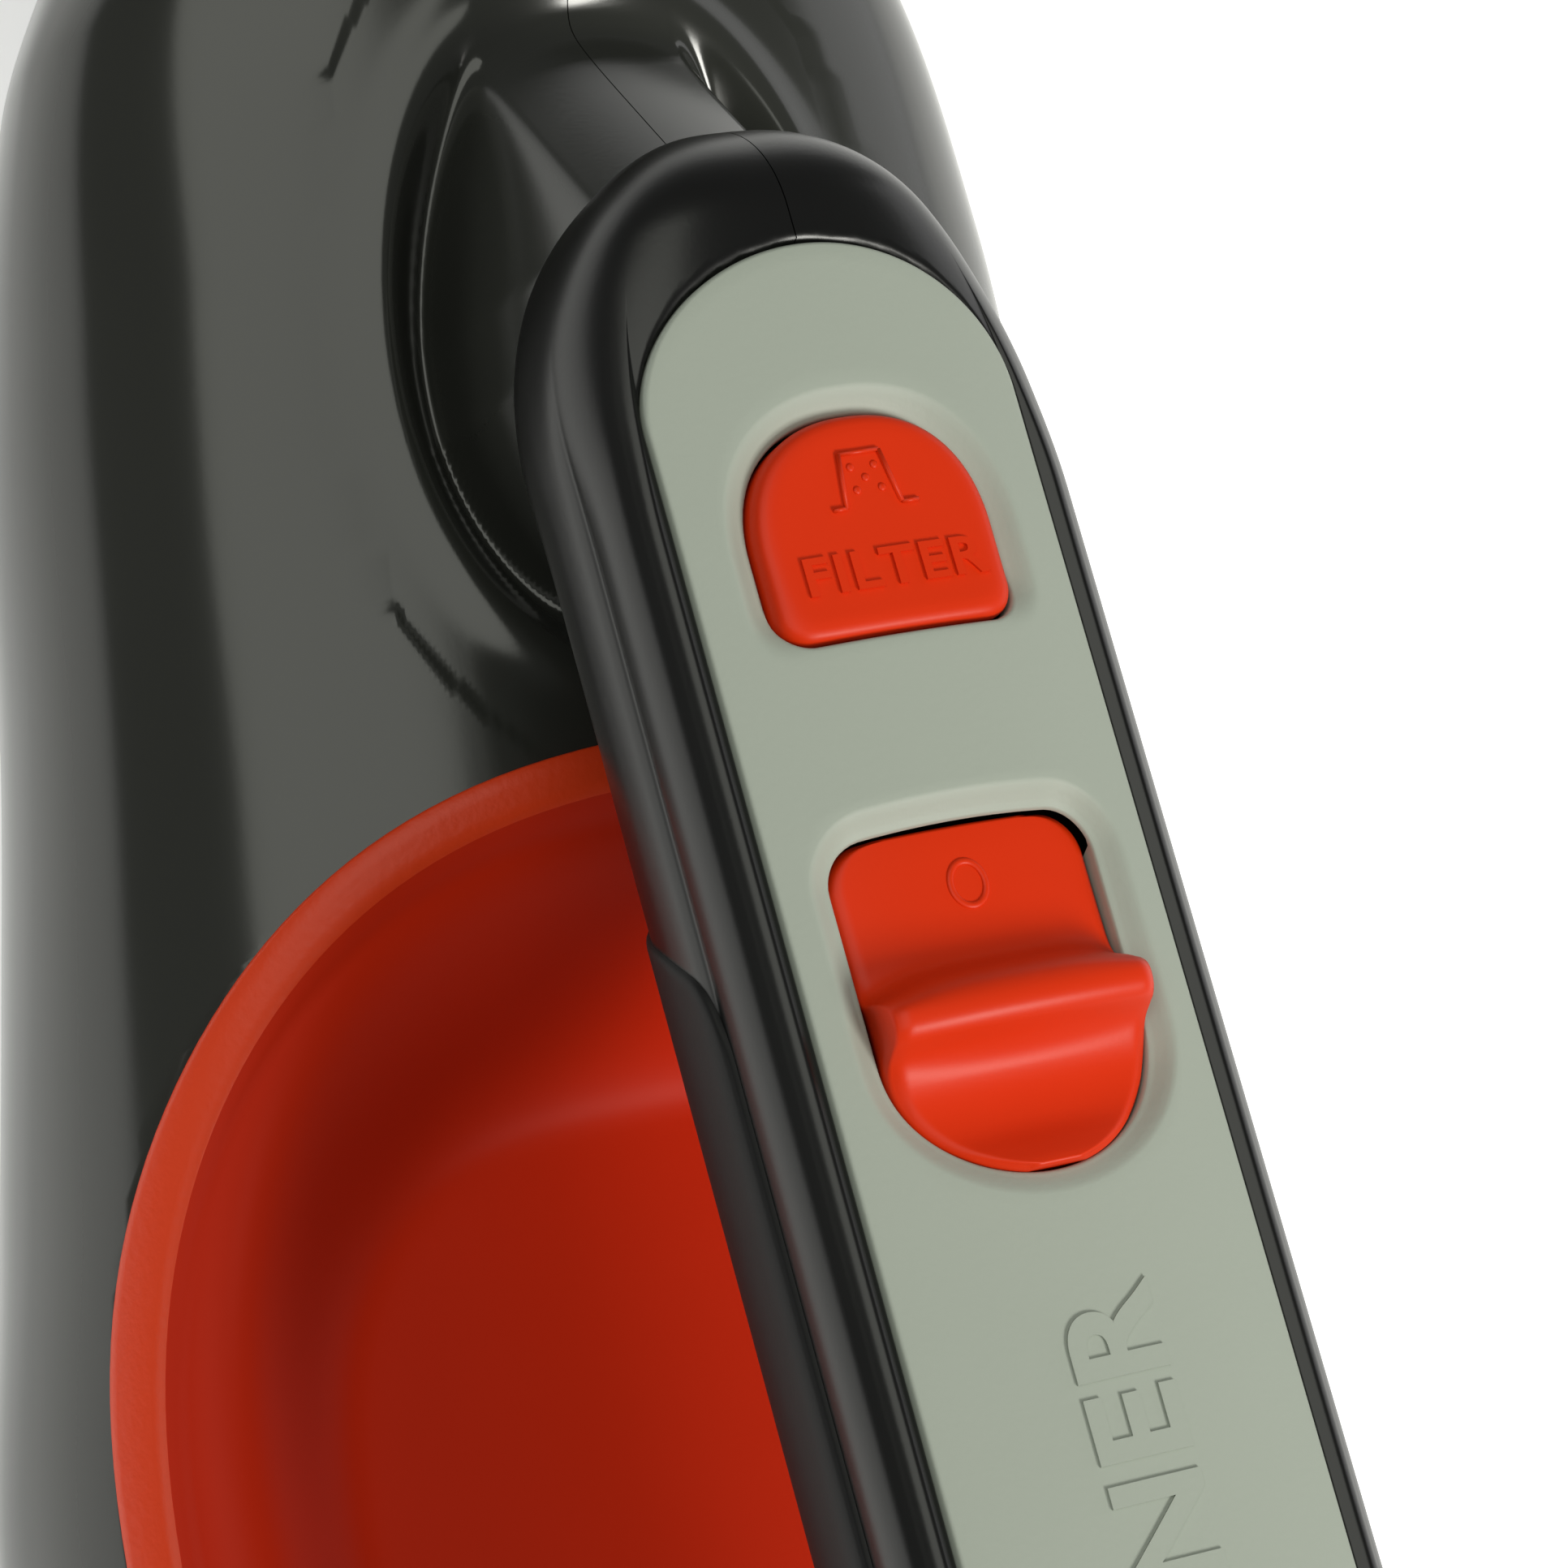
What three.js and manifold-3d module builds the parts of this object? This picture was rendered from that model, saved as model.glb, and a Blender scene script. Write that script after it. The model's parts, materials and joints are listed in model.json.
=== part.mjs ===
// Handheld vacuum cleaner: a two-shell housing with a carry handle on top, a release button and a
// power slider in the handle, a clip-on dust bowl with its filter, and the motor and cells inside.
// Millimetres, +X to the intake mouth, +Y to the left, +Z up, standing on z = 0.
import * as THREE from "three";
import { mergeVertices } from "three/addons/utils/BufferGeometryUtils.js";
import Module from "manifold-3d";

const wasm = await Module();
wasm.setup();

// ---------- driving dimensions ----------
const GAP = 0.3; // clearance between touching pieces
const WALL = 2.6; // housing wall
const SPLIT = 0.15; // half of the parting gap on the centre plane

// Housing sections: x, centre height, half width, height above and depth below the centre.
const COLLAR_X = 90;
const REAR_X = -205;
const REAR_ROUND = 60;
const HOUSING = [
  [90, 80, 28.5, 20, 26],
  [82.5, 80, 31, 21, 29],
  [68, 80, 39, 22, 34],
  [45, 73, 44, 27, 38],
  [20, 66, 46.5, 28, 42],
  [0, 60, 49.5, 31, 45],
  [-20, 52, 52.5, 35, 44],
  [-46, 44, 57, 36.5, 40],
  [-90, 43, 58, 33, 39],
  [-130, 45, 55, 30, 39],
  [-205, 47, 50, 27, 37],
];
const HOUSING_POWER = 2.2;

// Dust bowl sections, drooping to a wide mouth.
const BOWL_BACK = 90.4;
const MOUTH_X = 205;
const BOWL_WALL = 2.2;
const BOWL = [
  [90, 80, 28.5, 20, 26],
  [120, 70, 33, 21, 30],
  [150, 56, 38, 20, 26],
  [180, 40, 42, 17, 20],
  [205, 26, 44, 13, 15],
];
const BOWL_POWER = 2.6;

// Handle: a straight bar that arcs down at the back.
const HANDLE_TIP = 43;
const HANDLE_Z = 115.5;
const HANDLE_HALF = 19.6;
const HANDLE_RISE = 11.5;
const HANDLE_NOSE = 9;
const BEND_X = -112;
const BEND_RADIUS = 45;
const BEND_ANGLE = 1.5;
const HANDLE_WALL = 4.6;
const HANDLE_POWER = 2.6;
const DECK_TOP = 122.2;
const DECK_BOTTOM = 119.7;

// Insert on the handle, with the button and the slider in it.
const CROWN_Z = 128;
const CROWN_DROP = 2;
const INSERT_FRONT = 30;
const INSERT_REAR = -118;
const INSERT_HALF = 15.6;
const BUTTON_X = 7;
const BUTTON_FRONT = 16.3;
const BUTTON_REAR = -0.8;
const BUTTON_HALF = 9.9;
const BUTTON_TRAVEL = 2.5;
const SLIDER_FRONT = -16.2;
const SLIDER_REAR = -42;
const SLIDER_HALF = 10.85;
const SLIDER_TRAVEL = 7;

// Finger pocket under the handle.
const POCKET_FRONT = 5;
const POCKET_FLOOR_FRONT = -28;
const POCKET_FLOOR_REAR = -104;
const POCKET_REAR = -134;
const POCKET_FLOOR = 62;
const POCKET_TOP = 92;
const POCKET_SAG = 4;
const PANEL = 3;

// Neck between the housing and the handle, and the dish that it stands in.
const NECK_HALF = 10.5;
const NECK_SIDE = [
  [70, 90], [66, 97], [62.5, 100.4], [42.6, 113.3], [34, 118.4],
  [20, 118.4], [15, 104], [24, 87], [30, 84.5], [58, 86],
];
const DISH = { x: 36, z: 97, length: 29, half: 20, depth: 11, tilt: 0.18 };

// Motor line.
const AXIS_Z = 66;
const SHAFT_R = 2.5;
const CAN_R = 15;
const SHROUD_R = 16;

// Filter, latch and rod.
const FILTER_Z = 75.9;
const FILTER_R = 15.2;
const ROD_START = [12, 112];
const ROD_END = [80.5, 90.5];
const LATCH_PIVOT = [85.6, 93.4];

// ---------- solids ----------
const COLOURS = {
  titanium: [0x4a4c4a, 0.3, 0.4],
  black: [0x151617, 0.3, 0],
  satin_grey: [0xa9b1ab, 0.5, 0.1],
  orange: [0xd8330c, 0.4, 0],
  smoked: [0x5a5552, 0.15, 0],
  rubber: [0x1c1c1d, 0.8, 0],
  paper: [0xe7e3d8, 0.9, 0],
  steel: [0xb6b8ba, 0.3, 1],
  copper: [0xb87333, 0.4, 0.9],
  green: [0x1f5b34, 0.6, 0],
  blue: [0x2c5d94, 0.5, 0],
  white: [0xe8e8e4, 0.5, 0],
};

// A closed geometry as a solid, with its shared corners merged and its faces turned out.
function solid(geometry) {
  const bare = geometry.clone();
  bare.deleteAttribute("normal");
  bare.deleteAttribute("uv");
  const merged = mergeVertices(bare, 1e-4);
  const index = merged.index.array;
  const corner = (i) => new THREE.Vector3().fromBufferAttribute(merged.attributes.position, i);
  const kept = [];
  let volume = 0;
  for (let i = 0; i < index.length; i += 3) {
    const [a, b, c] = [index[i], index[i + 1], index[i + 2]];
    if (a === b || b === c || c === a) continue;
    kept.push(a, b, c);
    volume += corner(a).dot(corner(b).cross(corner(c)));
  }
  if (volume < 0) kept.reverse();
  const mesh = new wasm.Mesh({
    numProp: 3,
    vertProperties: new Float32Array(merged.attributes.position.array),
    triVerts: new Uint32Array(kept),
  });
  return new wasm.Manifold(mesh);
}

// The smooth value of a section table at x: [centre, half width, up, down].
function sectionAt(table, x) {
  const last = table.length - 1;
  let i = 0;
  while (i < last - 1 && x < table[i + 1][0] === table[0][0] > table[1][0]) i += 1;
  const slope = (k, c) => {
    const [p, q] = [table[Math.max(k - 1, 0)], table[Math.min(k + 1, last)]];
    return (q[c] - p[c]) / (q[0] - p[0]);
  };
  const [p, q] = [table[i], table[i + 1]];
  const span = q[0] - p[0];
  const t = THREE.MathUtils.clamp((x - p[0]) / span, 0, 1);
  const [startAt, startSlope] = [2 * t ** 3 - 3 * t ** 2 + 1, t ** 3 - 2 * t ** 2 + t];
  const [endAt, endSlope] = [3 * t ** 2 - 2 * t ** 3, t ** 3 - t ** 2];
  return [1, 2, 3, 4].map((c) =>
    startAt * p[c] + startSlope * span * slope(i, c) + endAt * q[c] + endSlope * span * slope(i + 1, c));
}

// A point of a rounded section: angle 0 is +Y and a quarter turn is +Z.
function roundSection(angle, half, up, down, power) {
  const [c, s] = [Math.cos(angle), Math.sin(angle)];
  const y = Math.sign(c) * half * Math.abs(c) ** (2 / power);
  const z = Math.sign(s) * (s > 0 ? up : down) * Math.abs(s) ** (2 / power);
  return [y, z];
}

// A cylinder whose rings are moved by place(t along 0..1, angle, radius 0 or 1) to [x, y, z].
function sweep(around, along, place) {
  const geometry = new THREE.CylinderGeometry(1, 1, 1, around, along);
  const points = geometry.attributes.position;
  for (let i = 0; i < points.count; i += 1) {
    const radius = Math.hypot(points.getX(i), points.getZ(i));
    const angle = Math.atan2(points.getZ(i), points.getX(i));
    points.setXYZ(i, ...place(0.5 - points.getY(i), angle, Math.min(radius, 1)));
  }
  return solid(geometry);
}

// The housing's outer form, or a smaller or larger one, closed at both ends.
function housingForm(inset, front, around, along) {
  const rear = REAR_X + inset;
  const roundStart = REAR_X + REAR_ROUND;
  return sweep(around, along, (t, angle, radius) => {
    const x = front + (rear - front) * (0.55 * t + 0.45 * Math.sin((t * Math.PI) / 2));
    const [centre, half, up, down] = sectionAt(HOUSING, x);
    const past = Math.max(0, (roundStart - x) / (roundStart - rear));
    const close = radius * Math.sqrt(Math.max(0, 1 - past ** 2));
    const [y, z] = roundSection(angle, half - inset, up - inset, down - inset, HOUSING_POWER);
    return [x, y * close, centre + z * close];
  });
}

function bowlForm(inset, from, to, around, along) {
  return sweep(around, along, (t, angle, radius) => {
    const x = to + (from - to) * t;
    const [centre, half, up, down] = sectionAt(BOWL, x);
    const [y, z] = roundSection(angle, half - inset, up - inset, down - inset, BOWL_POWER);
    return [x, y * radius, centre + z * radius];
  });
}

// The handle's bar, with a rounded nose and the bend at the back.
function handleForm(inset, around, along) {
  const straight = HANDLE_TIP - BEND_X;
  const length = straight + BEND_RADIUS * BEND_ANGLE;
  return sweep(around, along, (t, angle, radius) => {
    const s = inset + (length - inset) * (0.3 * t + 0.7 * (1 - Math.cos((t * Math.PI) / 2)));
    const turn = Math.max(0, (s - straight) / BEND_RADIUS);
    const nose = Math.max(0, 1 - (s - inset) / HANDLE_NOSE);
    const close = radius * Math.sqrt(Math.max(0, 1 - nose ** 2));
    const rise = HANDLE_RISE - inset;
    const [y, up] = roundSection(angle, HANDLE_HALF - inset, rise, rise, HANDLE_POWER);
    const reach = BEND_RADIUS + up * close;
    if (s <= straight) return [HANDLE_TIP - s, y * close, HANDLE_Z + up * close];
    const bendZ = HANDLE_Z - BEND_RADIUS;
    return [BEND_X - Math.sin(turn) * reach, y * close, bendZ + Math.cos(turn) * reach];
  });
}

function box(x0, x1, y0, y1, z0, z1) {
  const geometry = new THREE.BoxGeometry(x1 - x0, y1 - y0, z1 - z0);
  geometry.translate((x0 + x1) / 2, (y0 + y1) / 2, (z0 + z1) / 2);
  return solid(geometry);
}

// A cylinder along X, Y or Z, from a to b on that axis, through the point given.
function rod(axis, a, b, radius, [p, q], sides = 20) {
  const geometry = new THREE.CylinderGeometry(radius, radius, b - a, sides);
  const middle = (a + b) / 2;
  if (axis === "x") geometry.rotateZ(-Math.PI / 2).translate(middle, p, q);
  if (axis === "y") geometry.translate(p, middle, q);
  if (axis === "z") geometry.rotateX(Math.PI / 2).translate(p, q, middle);
  return solid(geometry);
}

// A side outline of [x, z] corners, made as thick as y0 to y1.
function plateXZ(outline, y0, y1) {
  const shape = new THREE.Shape(outline.map(([x, z]) => new THREE.Vector2(x, z)));
  const geometry = new THREE.ExtrudeGeometry(shape, { depth: y1 - y0, bevelEnabled: false });
  geometry.rotateX(Math.PI / 2).translate(0, y1, 0);
  return solid(geometry);
}

// A plan outline, made as tall as z0 to z1.
function plateXY(shape, z0, z1) {
  const options = { depth: z1 - z0, bevelEnabled: false, curveSegments: 8 };
  return solid(new THREE.ExtrudeGeometry(shape, options).translate(0, 0, z0));
}

// A bar with round ends on the centre line, from x0 back to x1.
function capsule(front, rear, half, frontRadius, rearRadius) {
  const shape = new THREE.Shape();
  shape.moveTo(front - frontRadius, half);
  shape.lineTo(rear + rearRadius, half);
  shape.absarc(rear + rearRadius, half - rearRadius, rearRadius, Math.PI / 2, Math.PI);
  shape.lineTo(rear, -(half - rearRadius));
  shape.absarc(rear + rearRadius, -(half - rearRadius), rearRadius, Math.PI, 1.5 * Math.PI);
  shape.lineTo(front - frontRadius, -half);
  shape.absellipse(front - frontRadius, 0, frontRadius, half, -Math.PI / 2, Math.PI / 2);
  return shape;
}

// A turned ring along X: outline corners are [radius, x] round the line at height z.
function turned(outline, z, sides = 20) {
  const points = outline.map(([radius, x]) => new THREE.Vector2(radius, x));
  if (outline[0][0] > 0) points.push(points[0].clone());
  const geometry = new THREE.LatheGeometry(points, sides);
  geometry.rotateZ(-Math.PI / 2).translate(0, 0, z);
  return solid(geometry);
}

// The outline of a plain ring between two radii, from x = a to x = b.
function ringOutline(inside, outside, a, b) {
  return [[inside, a], [outside, a], [outside, b], [inside, b]];
}

function leftOf(body) {
  return body.intersect(box(-300, 300, SPLIT, 200, -50, 300));
}

function rightOf(body) {
  return body.intersect(box(-300, 300, -200, -SPLIT, -50, 300));
}

// ---------- the scene ----------
const group = new THREE.Group();

// A solid becomes a named mesh of the scene.
function add(name, body, look) {
  const mesh = body.getMesh();
  const positions = new Float32Array(mesh.vertProperties);
  const geometry = new THREE.BufferGeometry();
  geometry.setAttribute("position", new THREE.BufferAttribute(positions, 3));
  geometry.setIndex([...mesh.triVerts]);
  geometry.computeVertexNormals();
  const [color, roughness, metalness] = COLOURS[look];
  const piece = new THREE.Mesh(geometry, new THREE.MeshStandardMaterial({ color, roughness, metalness }));
  piece.name = name;
  group.add(piece);
}

// ---------- shared forms ----------
const outer = housingForm(0, COLLAR_X, 28, 20);
const inner = housingForm(WALL, COLLAR_X + 5, 20, 12);
const clearance = housingForm(-GAP, COLLAR_X + GAP, 28, 20);

function dish(grow) {
  const geometry = new THREE.SphereGeometry(1, 18, 10);
  geometry.scale(DISH.length + grow, DISH.half + grow, DISH.depth + grow);
  geometry.rotateY(-DISH.tilt).translate(DISH.x, 0, DISH.z);
  return solid(geometry);
}

function neck(grow) {
  const front = NECK_SIDE.map(([x, z]) => [x + (x > 40 ? grow : -grow), z + grow]);
  return plateXZ(front, -NECK_HALF - grow, NECK_HALF + grow);
}

// The space over the finger pocket, lowered by drop, with its floor falling away to the sides.
function pocketSpace(drop) {
  const floor = POCKET_FLOOR - drop;
  const [front, rear] = [POCKET_FLOOR_FRONT + drop, POCKET_FLOOR_REAR - drop];
  const profile = new THREE.Shape();
  profile.moveTo(POCKET_FRONT + drop, POCKET_TOP + 8);
  profile.lineTo(POCKET_FRONT + drop, POCKET_TOP);
  profile.lineTo(front + 8, floor + 7);
  profile.quadraticCurveTo(front, floor, POCKET_FLOOR_FRONT - 10, floor);
  profile.lineTo(POCKET_FLOOR_REAR + 10, floor);
  profile.quadraticCurveTo(rear, floor, rear - 8, floor + 7);
  profile.lineTo(POCKET_REAR - drop, POCKET_TOP);
  profile.lineTo(POCKET_REAR - drop, POCKET_TOP + 8);
  const options = { depth: 140, steps: 8, bevelEnabled: false, curveSegments: 3 };
  const geometry = new THREE.ExtrudeGeometry(profile, options);
  geometry.rotateX(Math.PI / 2).translate(0, 70, 0);
  const points = geometry.attributes.position;
  for (let i = 0; i < points.count; i += 1) {
    const fall = POCKET_SAG * Math.min(1, (points.getY(i) / 52) ** 2);
    if (points.getZ(i) < POCKET_TOP - 1) points.setZ(i, points.getZ(i) - fall);
  }
  return solid(geometry);
}

// ---------- exhaust grilles ----------
const GRILLE_X = -128;
const GRILLE_Z = 38;
const GRILLE_OUTLINE = [[-18, -10], [18, -10], [22, -6], [22, 6], [18, 10], [-18, 10], [-22, 6], [-22, -6]];
const GRILLE_SLOTS = 6;
const GRILLE_PITCH = 6.2;

function grilleOutline(grow) {
  const out = (value) => value + Math.sign(value) * grow;
  return GRILLE_OUTLINE.map(([x, z]) => [GRILLE_X + out(x), GRILLE_Z + out(z)]);
}

for (const [name, y0, y1] of [["exhaust_grille_left", 30, 70], ["exhaust_grille_right", -70, -30]]) {
  let grille = outer.intersect(plateXZ(grilleOutline(0), y0, y1)).subtract(inner);
  for (let k = 0; k < GRILLE_SLOTS; k += 1) {
    const x = GRILLE_X + (k - (GRILLE_SLOTS - 1) / 2) * GRILLE_PITCH;
    grille = grille.subtract(box(x - 1.5, x + 1.5, y0 - 1, y1 + 1, GRILLE_Z - 7, GRILLE_Z + 7));
  }
  add(name, grille, "black");
}

// ---------- housing halves ----------
const SCREWS = [[60, 62], [8, 30], [-98, 24], [-168, 40]];
const screwY = SCREWS.map(([x, z]) => {
  const [centre, half, , down] = sectionAt(HOUSING, x);
  const past = Math.max(0, (REAR_X + REAR_ROUND - x) / REAR_ROUND);
  const close = Math.sqrt(1 - past ** 2);
  const lift = Math.abs(centre - z) / (down * close);
  return -half * close * (1 - lift ** HOUSING_POWER) ** (1 / HOUSING_POWER);
});

let shell = outer.subtract(dish(0)).subtract(inner.subtract(dish(WALL))).add(neck(0));
const rodAngle = Math.atan2(ROD_END[1] - ROD_START[1], ROD_END[0] - ROD_START[0]);
const rodLength = Math.hypot(ROD_END[0] - ROD_START[0], ROD_END[1] - ROD_START[1]);

// A bar along the release rod's line, from a to b measured from its start.
function rodBar(a, b, halfWidth, halfHeight) {
  const geometry = new THREE.BoxGeometry(b - a, 2 * halfWidth, 2 * halfHeight);
  geometry.translate((a + b) / 2, 0, 0).rotateY(-rodAngle).translate(ROD_START[0], 0, ROD_START[1]);
  return solid(geometry);
}

const rodChannel = rodBar(-6, rodLength + 6, 3.1, 2.5);
shell = shell.subtract(rodChannel).subtract(pocketSpace(PANEL + GAP));
const grilleHole = plateXZ(grilleOutline(GAP), -70, 70);
shell = shell.subtract(grilleHole);
add("housing_left", leftOf(shell), "titanium");

let rightShell = rightOf(shell);
SCREWS.forEach(([x, z], k) => {
  rightShell = rightShell.subtract(rod("y", screwY[k] - 3, screwY[k] + 1.4, 3.3, [x, z], 16));
  rightShell = rightShell.subtract(rod("y", screwY[k], screwY[k] + 9, 1.8, [x, z], 12));
  const screw = rod("y", screwY[k] - 0.2, screwY[k] + 1.1, 2.9, [x, z], 16);
  const shank = rod("y", screwY[k] + 0.9, screwY[k] + 9, 1.5, [x, z], 12);
  add(`housing_screw_${k + 1}`, screw.add(shank), "steel");
});
add("housing_right", rightShell, "titanium");

// ---------- finger pocket panel ----------
const proud = housingForm(-0.8, COLLAR_X, 28, 20);
add("hand_pocket", proud.intersect(pocketSpace(PANEL)).subtract(pocketSpace(0)), "orange");

// ---------- base plinth and feet ----------
const plinth = plateXY(capsule(6, -142, 34, 26, 30), 1.5, 34).subtract(clearance);
add("base_plinth", plinth, "black");
const FEET = [[-12, 20], [-12, -20], [-122, 20], [-122, -20]];
FEET.forEach(([x, y], k) => add(`foot_${k + 1}`, rod("z", 0, 1.2, 6, [x, y], 20), "rubber"));
add("charge_contact_left", box(-79, -71, 6, 11, 0.4, 1.2), "copper");
add("charge_contact_right", box(-79, -71, -11, -6, 0.4, 1.2), "copper");

// ---------- handle ----------
const bar = handleForm(0, 22, 18);
const cavity = handleForm(HANDLE_WALL, 14, 12).intersect(box(-250, 39, -30, 30, 0, DECK_BOTTOM));
const gripSide = [[-10, 100], [-26, 113.6], [-111, 113.6], [-111, 100]];
const gripSideWide = [[-9.2, 99], [-25.6, 113.9], [-111.3, 113.9], [-111.3, 99]];
const gripInner = handleForm(1.9, 22, 18);
const gripSeat = handleForm(2.2, 22, 18);
let handle = bar.subtract(cavity).subtract(clearance).subtract(neck(GAP)).subtract(rodChannel);
handle = handle.subtract(plateXZ(gripSideWide, -30, 30).subtract(gripSeat));
const insertSeat = capsule(INSERT_FRONT + GAP, INSERT_REAR - GAP, INSERT_HALF + GAP, 13, 5);
handle = handle.subtract(plateXY(insertSeat, DECK_TOP, 140));
handle = handle.subtract(rod("z", 115, 125, 4.6, [BUTTON_X, 0], 20));
handle = handle.subtract(box(-38, -18, -3.4, 3.4, 110, 125));
handle = handle.subtract(rod("z", 115, 125, 2.4, [-100, 0], 12));
const HANDLE_SCREWS = [[-8, 111.5], [-124, 108]];
add("handle_left", leftOf(handle), "black");
let rightHandle = rightOf(handle);
HANDLE_SCREWS.forEach(([x, z], k) => {
  rightHandle = rightHandle.subtract(rod("y", -24, -16.6, 3, [x, z], 16));
  rightHandle = rightHandle.subtract(rod("y", -24, -10, 1.7, [x, z], 12));
  const screw = rod("y", -18, -16.9, 2.6, [x, z], 16);
  add(`handle_screw_${k + 1}`, screw.add(rod("y", -17, -10, 1.4, [x, z], 12)), "steel");
});
add("handle_right", rightHandle, "black");
add("grip_underside", bar.intersect(plateXZ(gripSide, -30, 30)).subtract(gripInner), "rubber");

// ---------- insert ----------
// The crowned top: anything above it is cut away.
function crownCut(top) {
  const shape = new THREE.Shape();
  shape.moveTo(-24, 150);
  shape.lineTo(-24, top - CROWN_DROP * (24 / INSERT_HALF) ** 2);
  for (let y = -16; y <= 16; y += 4) shape.lineTo(y, top - CROWN_DROP * (y / INSERT_HALF) ** 2);
  shape.lineTo(24, top - CROWN_DROP * (24 / INSERT_HALF) ** 2);
  shape.lineTo(24, 150);
  const geometry = new THREE.ExtrudeGeometry(shape, { depth: 260, bevelEnabled: false });
  geometry.rotateX(Math.PI / 2).rotateZ(Math.PI / 2).translate(-170, 0, 0);
  return solid(geometry);
}

function buttonShape(grow) {
  return capsule(BUTTON_FRONT + grow, BUTTON_REAR - grow, BUTTON_HALF + grow, 9, 2.5 + grow);
}

const insertShape = capsule(INSERT_FRONT, INSERT_REAR, INSERT_HALF, 13, 5);
let insert = plateXY(insertShape, DECK_TOP + GAP, CROWN_Z + 1).subtract(crownCut(CROWN_Z));
insert = insert.subtract(plateXY(buttonShape(0.6), 110, 140));
const sliderOpening = capsule(SLIDER_FRONT + 3.6, SLIDER_REAR - 0.6, SLIDER_HALF + 0.7, 0.8, 9);
insert = insert.subtract(plateXY(sliderOpening, 110, 140));
insert = insert.subtract(box(-52, -7.6, -11.55, 11.55, 110, 124.8));
insert = insert.subtract(box(-20, -8.6, -11.55, 11.55, 110, 126));
insert = insert.subtract(rod("z", 115, 135, 2.4, [-100, 0], 12));
add("handle_insert", insert, "satin_grey");
add("status_light", rod("z", 120, 128.2, 2, [-100, 0], 12), "white");

// ---------- filter button, rod and latch ----------
const BUTTON_BOTTOM = DECK_TOP + BUTTON_TRAVEL + GAP;
let button = plateXY(buttonShape(0), BUTTON_BOTTOM, CROWN_Z + 2).subtract(crownCut(CROWN_Z + 0.4));
button = button.add(rod("z", 112.6, BUTTON_BOTTOM + 0.5, 2.4, [BUTTON_X, 0], 16));
add("filter_button", button, "orange");
const springTube = rod("z", 109.2, BUTTON_BOTTOM - 0.2, 4, [BUTTON_X, 0], 20);
add("button_spring", springTube.subtract(rod("z", 100, 130, 3, [BUTTON_X, 0], 20)), "steel");
add("release_rod", rodBar(0, rodLength, 2.6, 2), "white");

const latchPin = rod("y", -9, 9, 1, LATCH_PIVOT, 12);
const latchBore = rod("y", -9.4, 9.4, 1.3, LATCH_PIVOT, 12);
const latchSide = [[83.6, 91.6], [92.6, 92.4], [92.6, 95], [91.2, 94.4], [86, 95.1], [83.6, 94.2]];
const latchArm = plateXZ(latchSide, -4, 4);
add("bowl_latch", latchArm.subtract(latchBore), "black");
add("latch_pin", latchPin, "steel");

// ---------- power slider and switch ----------
// Side outline: a low front plate, a steep ridge, then a hollow for the thumb.
const SLIDER_SIDE = [
  [-60, 110], [-10, 110], [-10, 125.8], [-21.6, 125.8], [-28, 130.6],
  [-30, 130.4], [-35, 127], [-39, 126.6], [-44, 127.6], [-60, 128],
];
let slider = plateXY(capsule(SLIDER_FRONT, SLIDER_REAR, SLIDER_HALF, 1.5, 9), 123, 140);
slider = slider.intersect(plateXZ(SLIDER_SIDE, -30, 30)).subtract(crownCut(CROWN_Z + 2.6));
slider = slider.subtract(crownCut(CROWN_Z - 2.3).intersect(box(-21.6, 0, -30, 30, 0, 200)));
slider = slider.add(box(-50, -30, -10, 10, 123, 124.4));
slider = slider.add(box(-36.5, -27.5, -3, 3, 117.2, 123.5));
add("power_slider", slider, "orange");
const switchBody = box(-44, -14, -7, 7, 109.4, 119.4);
add("power_switch", switchBody.subtract(box(-37.5, -19, -3.5, 3.5, 116.5, 130)), "black");

// ---------- dust bowl ----------
const bowlOuter = bowlForm(0, BOWL_BACK, MOUTH_X, 26, 9);
const bowlInner = bowlForm(BOWL_WALL, BOWL_BACK - 5, MOUTH_X + 5, 26, 9);
add("dust_bowl", bowlOuter.subtract(bowlInner), "smoked");

const FLAP_X = 160;
const FLAP_Z = 61;
const flapRing = bowlForm(BOWL_WALL + 2 * GAP, FLAP_X, FLAP_X + 3, 26, 1);
const flapFrame = flapRing.subtract(box(150, 170, -21.5, 21.5, 39, 57));
add("flap_frame", flapFrame, "black");
const flap = box(FLAP_X - 2.6, FLAP_X - 0.6, -23.5, 23.5, 37, FLAP_Z - 0.4);
const flapKnuckle = rod("y", -23.5, 23.5, 2.2, [FLAP_X - 2.9, FLAP_Z], 14);
const flapBore = rod("y", -40, 40, 1.3, [FLAP_X - 2.9, FLAP_Z], 14);
add("intake_flap", flap.add(flapKnuckle).subtract(flapBore), "rubber");
add("flap_pin", rod("y", -26, 26, 1, [FLAP_X - 2.9, FLAP_Z], 14), "steel");

// ---------- collar, seal and filter ----------
const latchSlot = box(70, 99, -5, 5, 89.5, 105);
function collarSlice(inset, x0, x1) {
  return housingForm(inset, COLLAR_X + 3, 20, 12).intersect(box(x0, x1, -60, 60, 0, 200));
}
const filterHole = rod("x", 60, 99, FILTER_R + 0.6, [0, FILTER_Z], 28);
const collar = collarSlice(WALL + GAP, 79.5, 86.5).subtract(filterHole);
add("collar_ring", collar.subtract(latchSlot).subtract(latchBore), "black");
const seal = collarSlice(WALL + GAP, 86.9, 90.2).subtract(collarSlice(WALL + 3.4, 80, 95));
add("bowl_seal", seal.subtract(latchSlot), "rubber");

const frameRing = turned(ringOutline(FILTER_R - 3, FILTER_R, 84, 92), FILTER_Z);
const frameBar = box(84, 92, -1.2, 1.2, FILTER_Z - FILTER_R + 1, FILTER_Z + FILTER_R - 1);
add("filter_frame", frameRing.add(frameBar), "orange");

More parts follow.
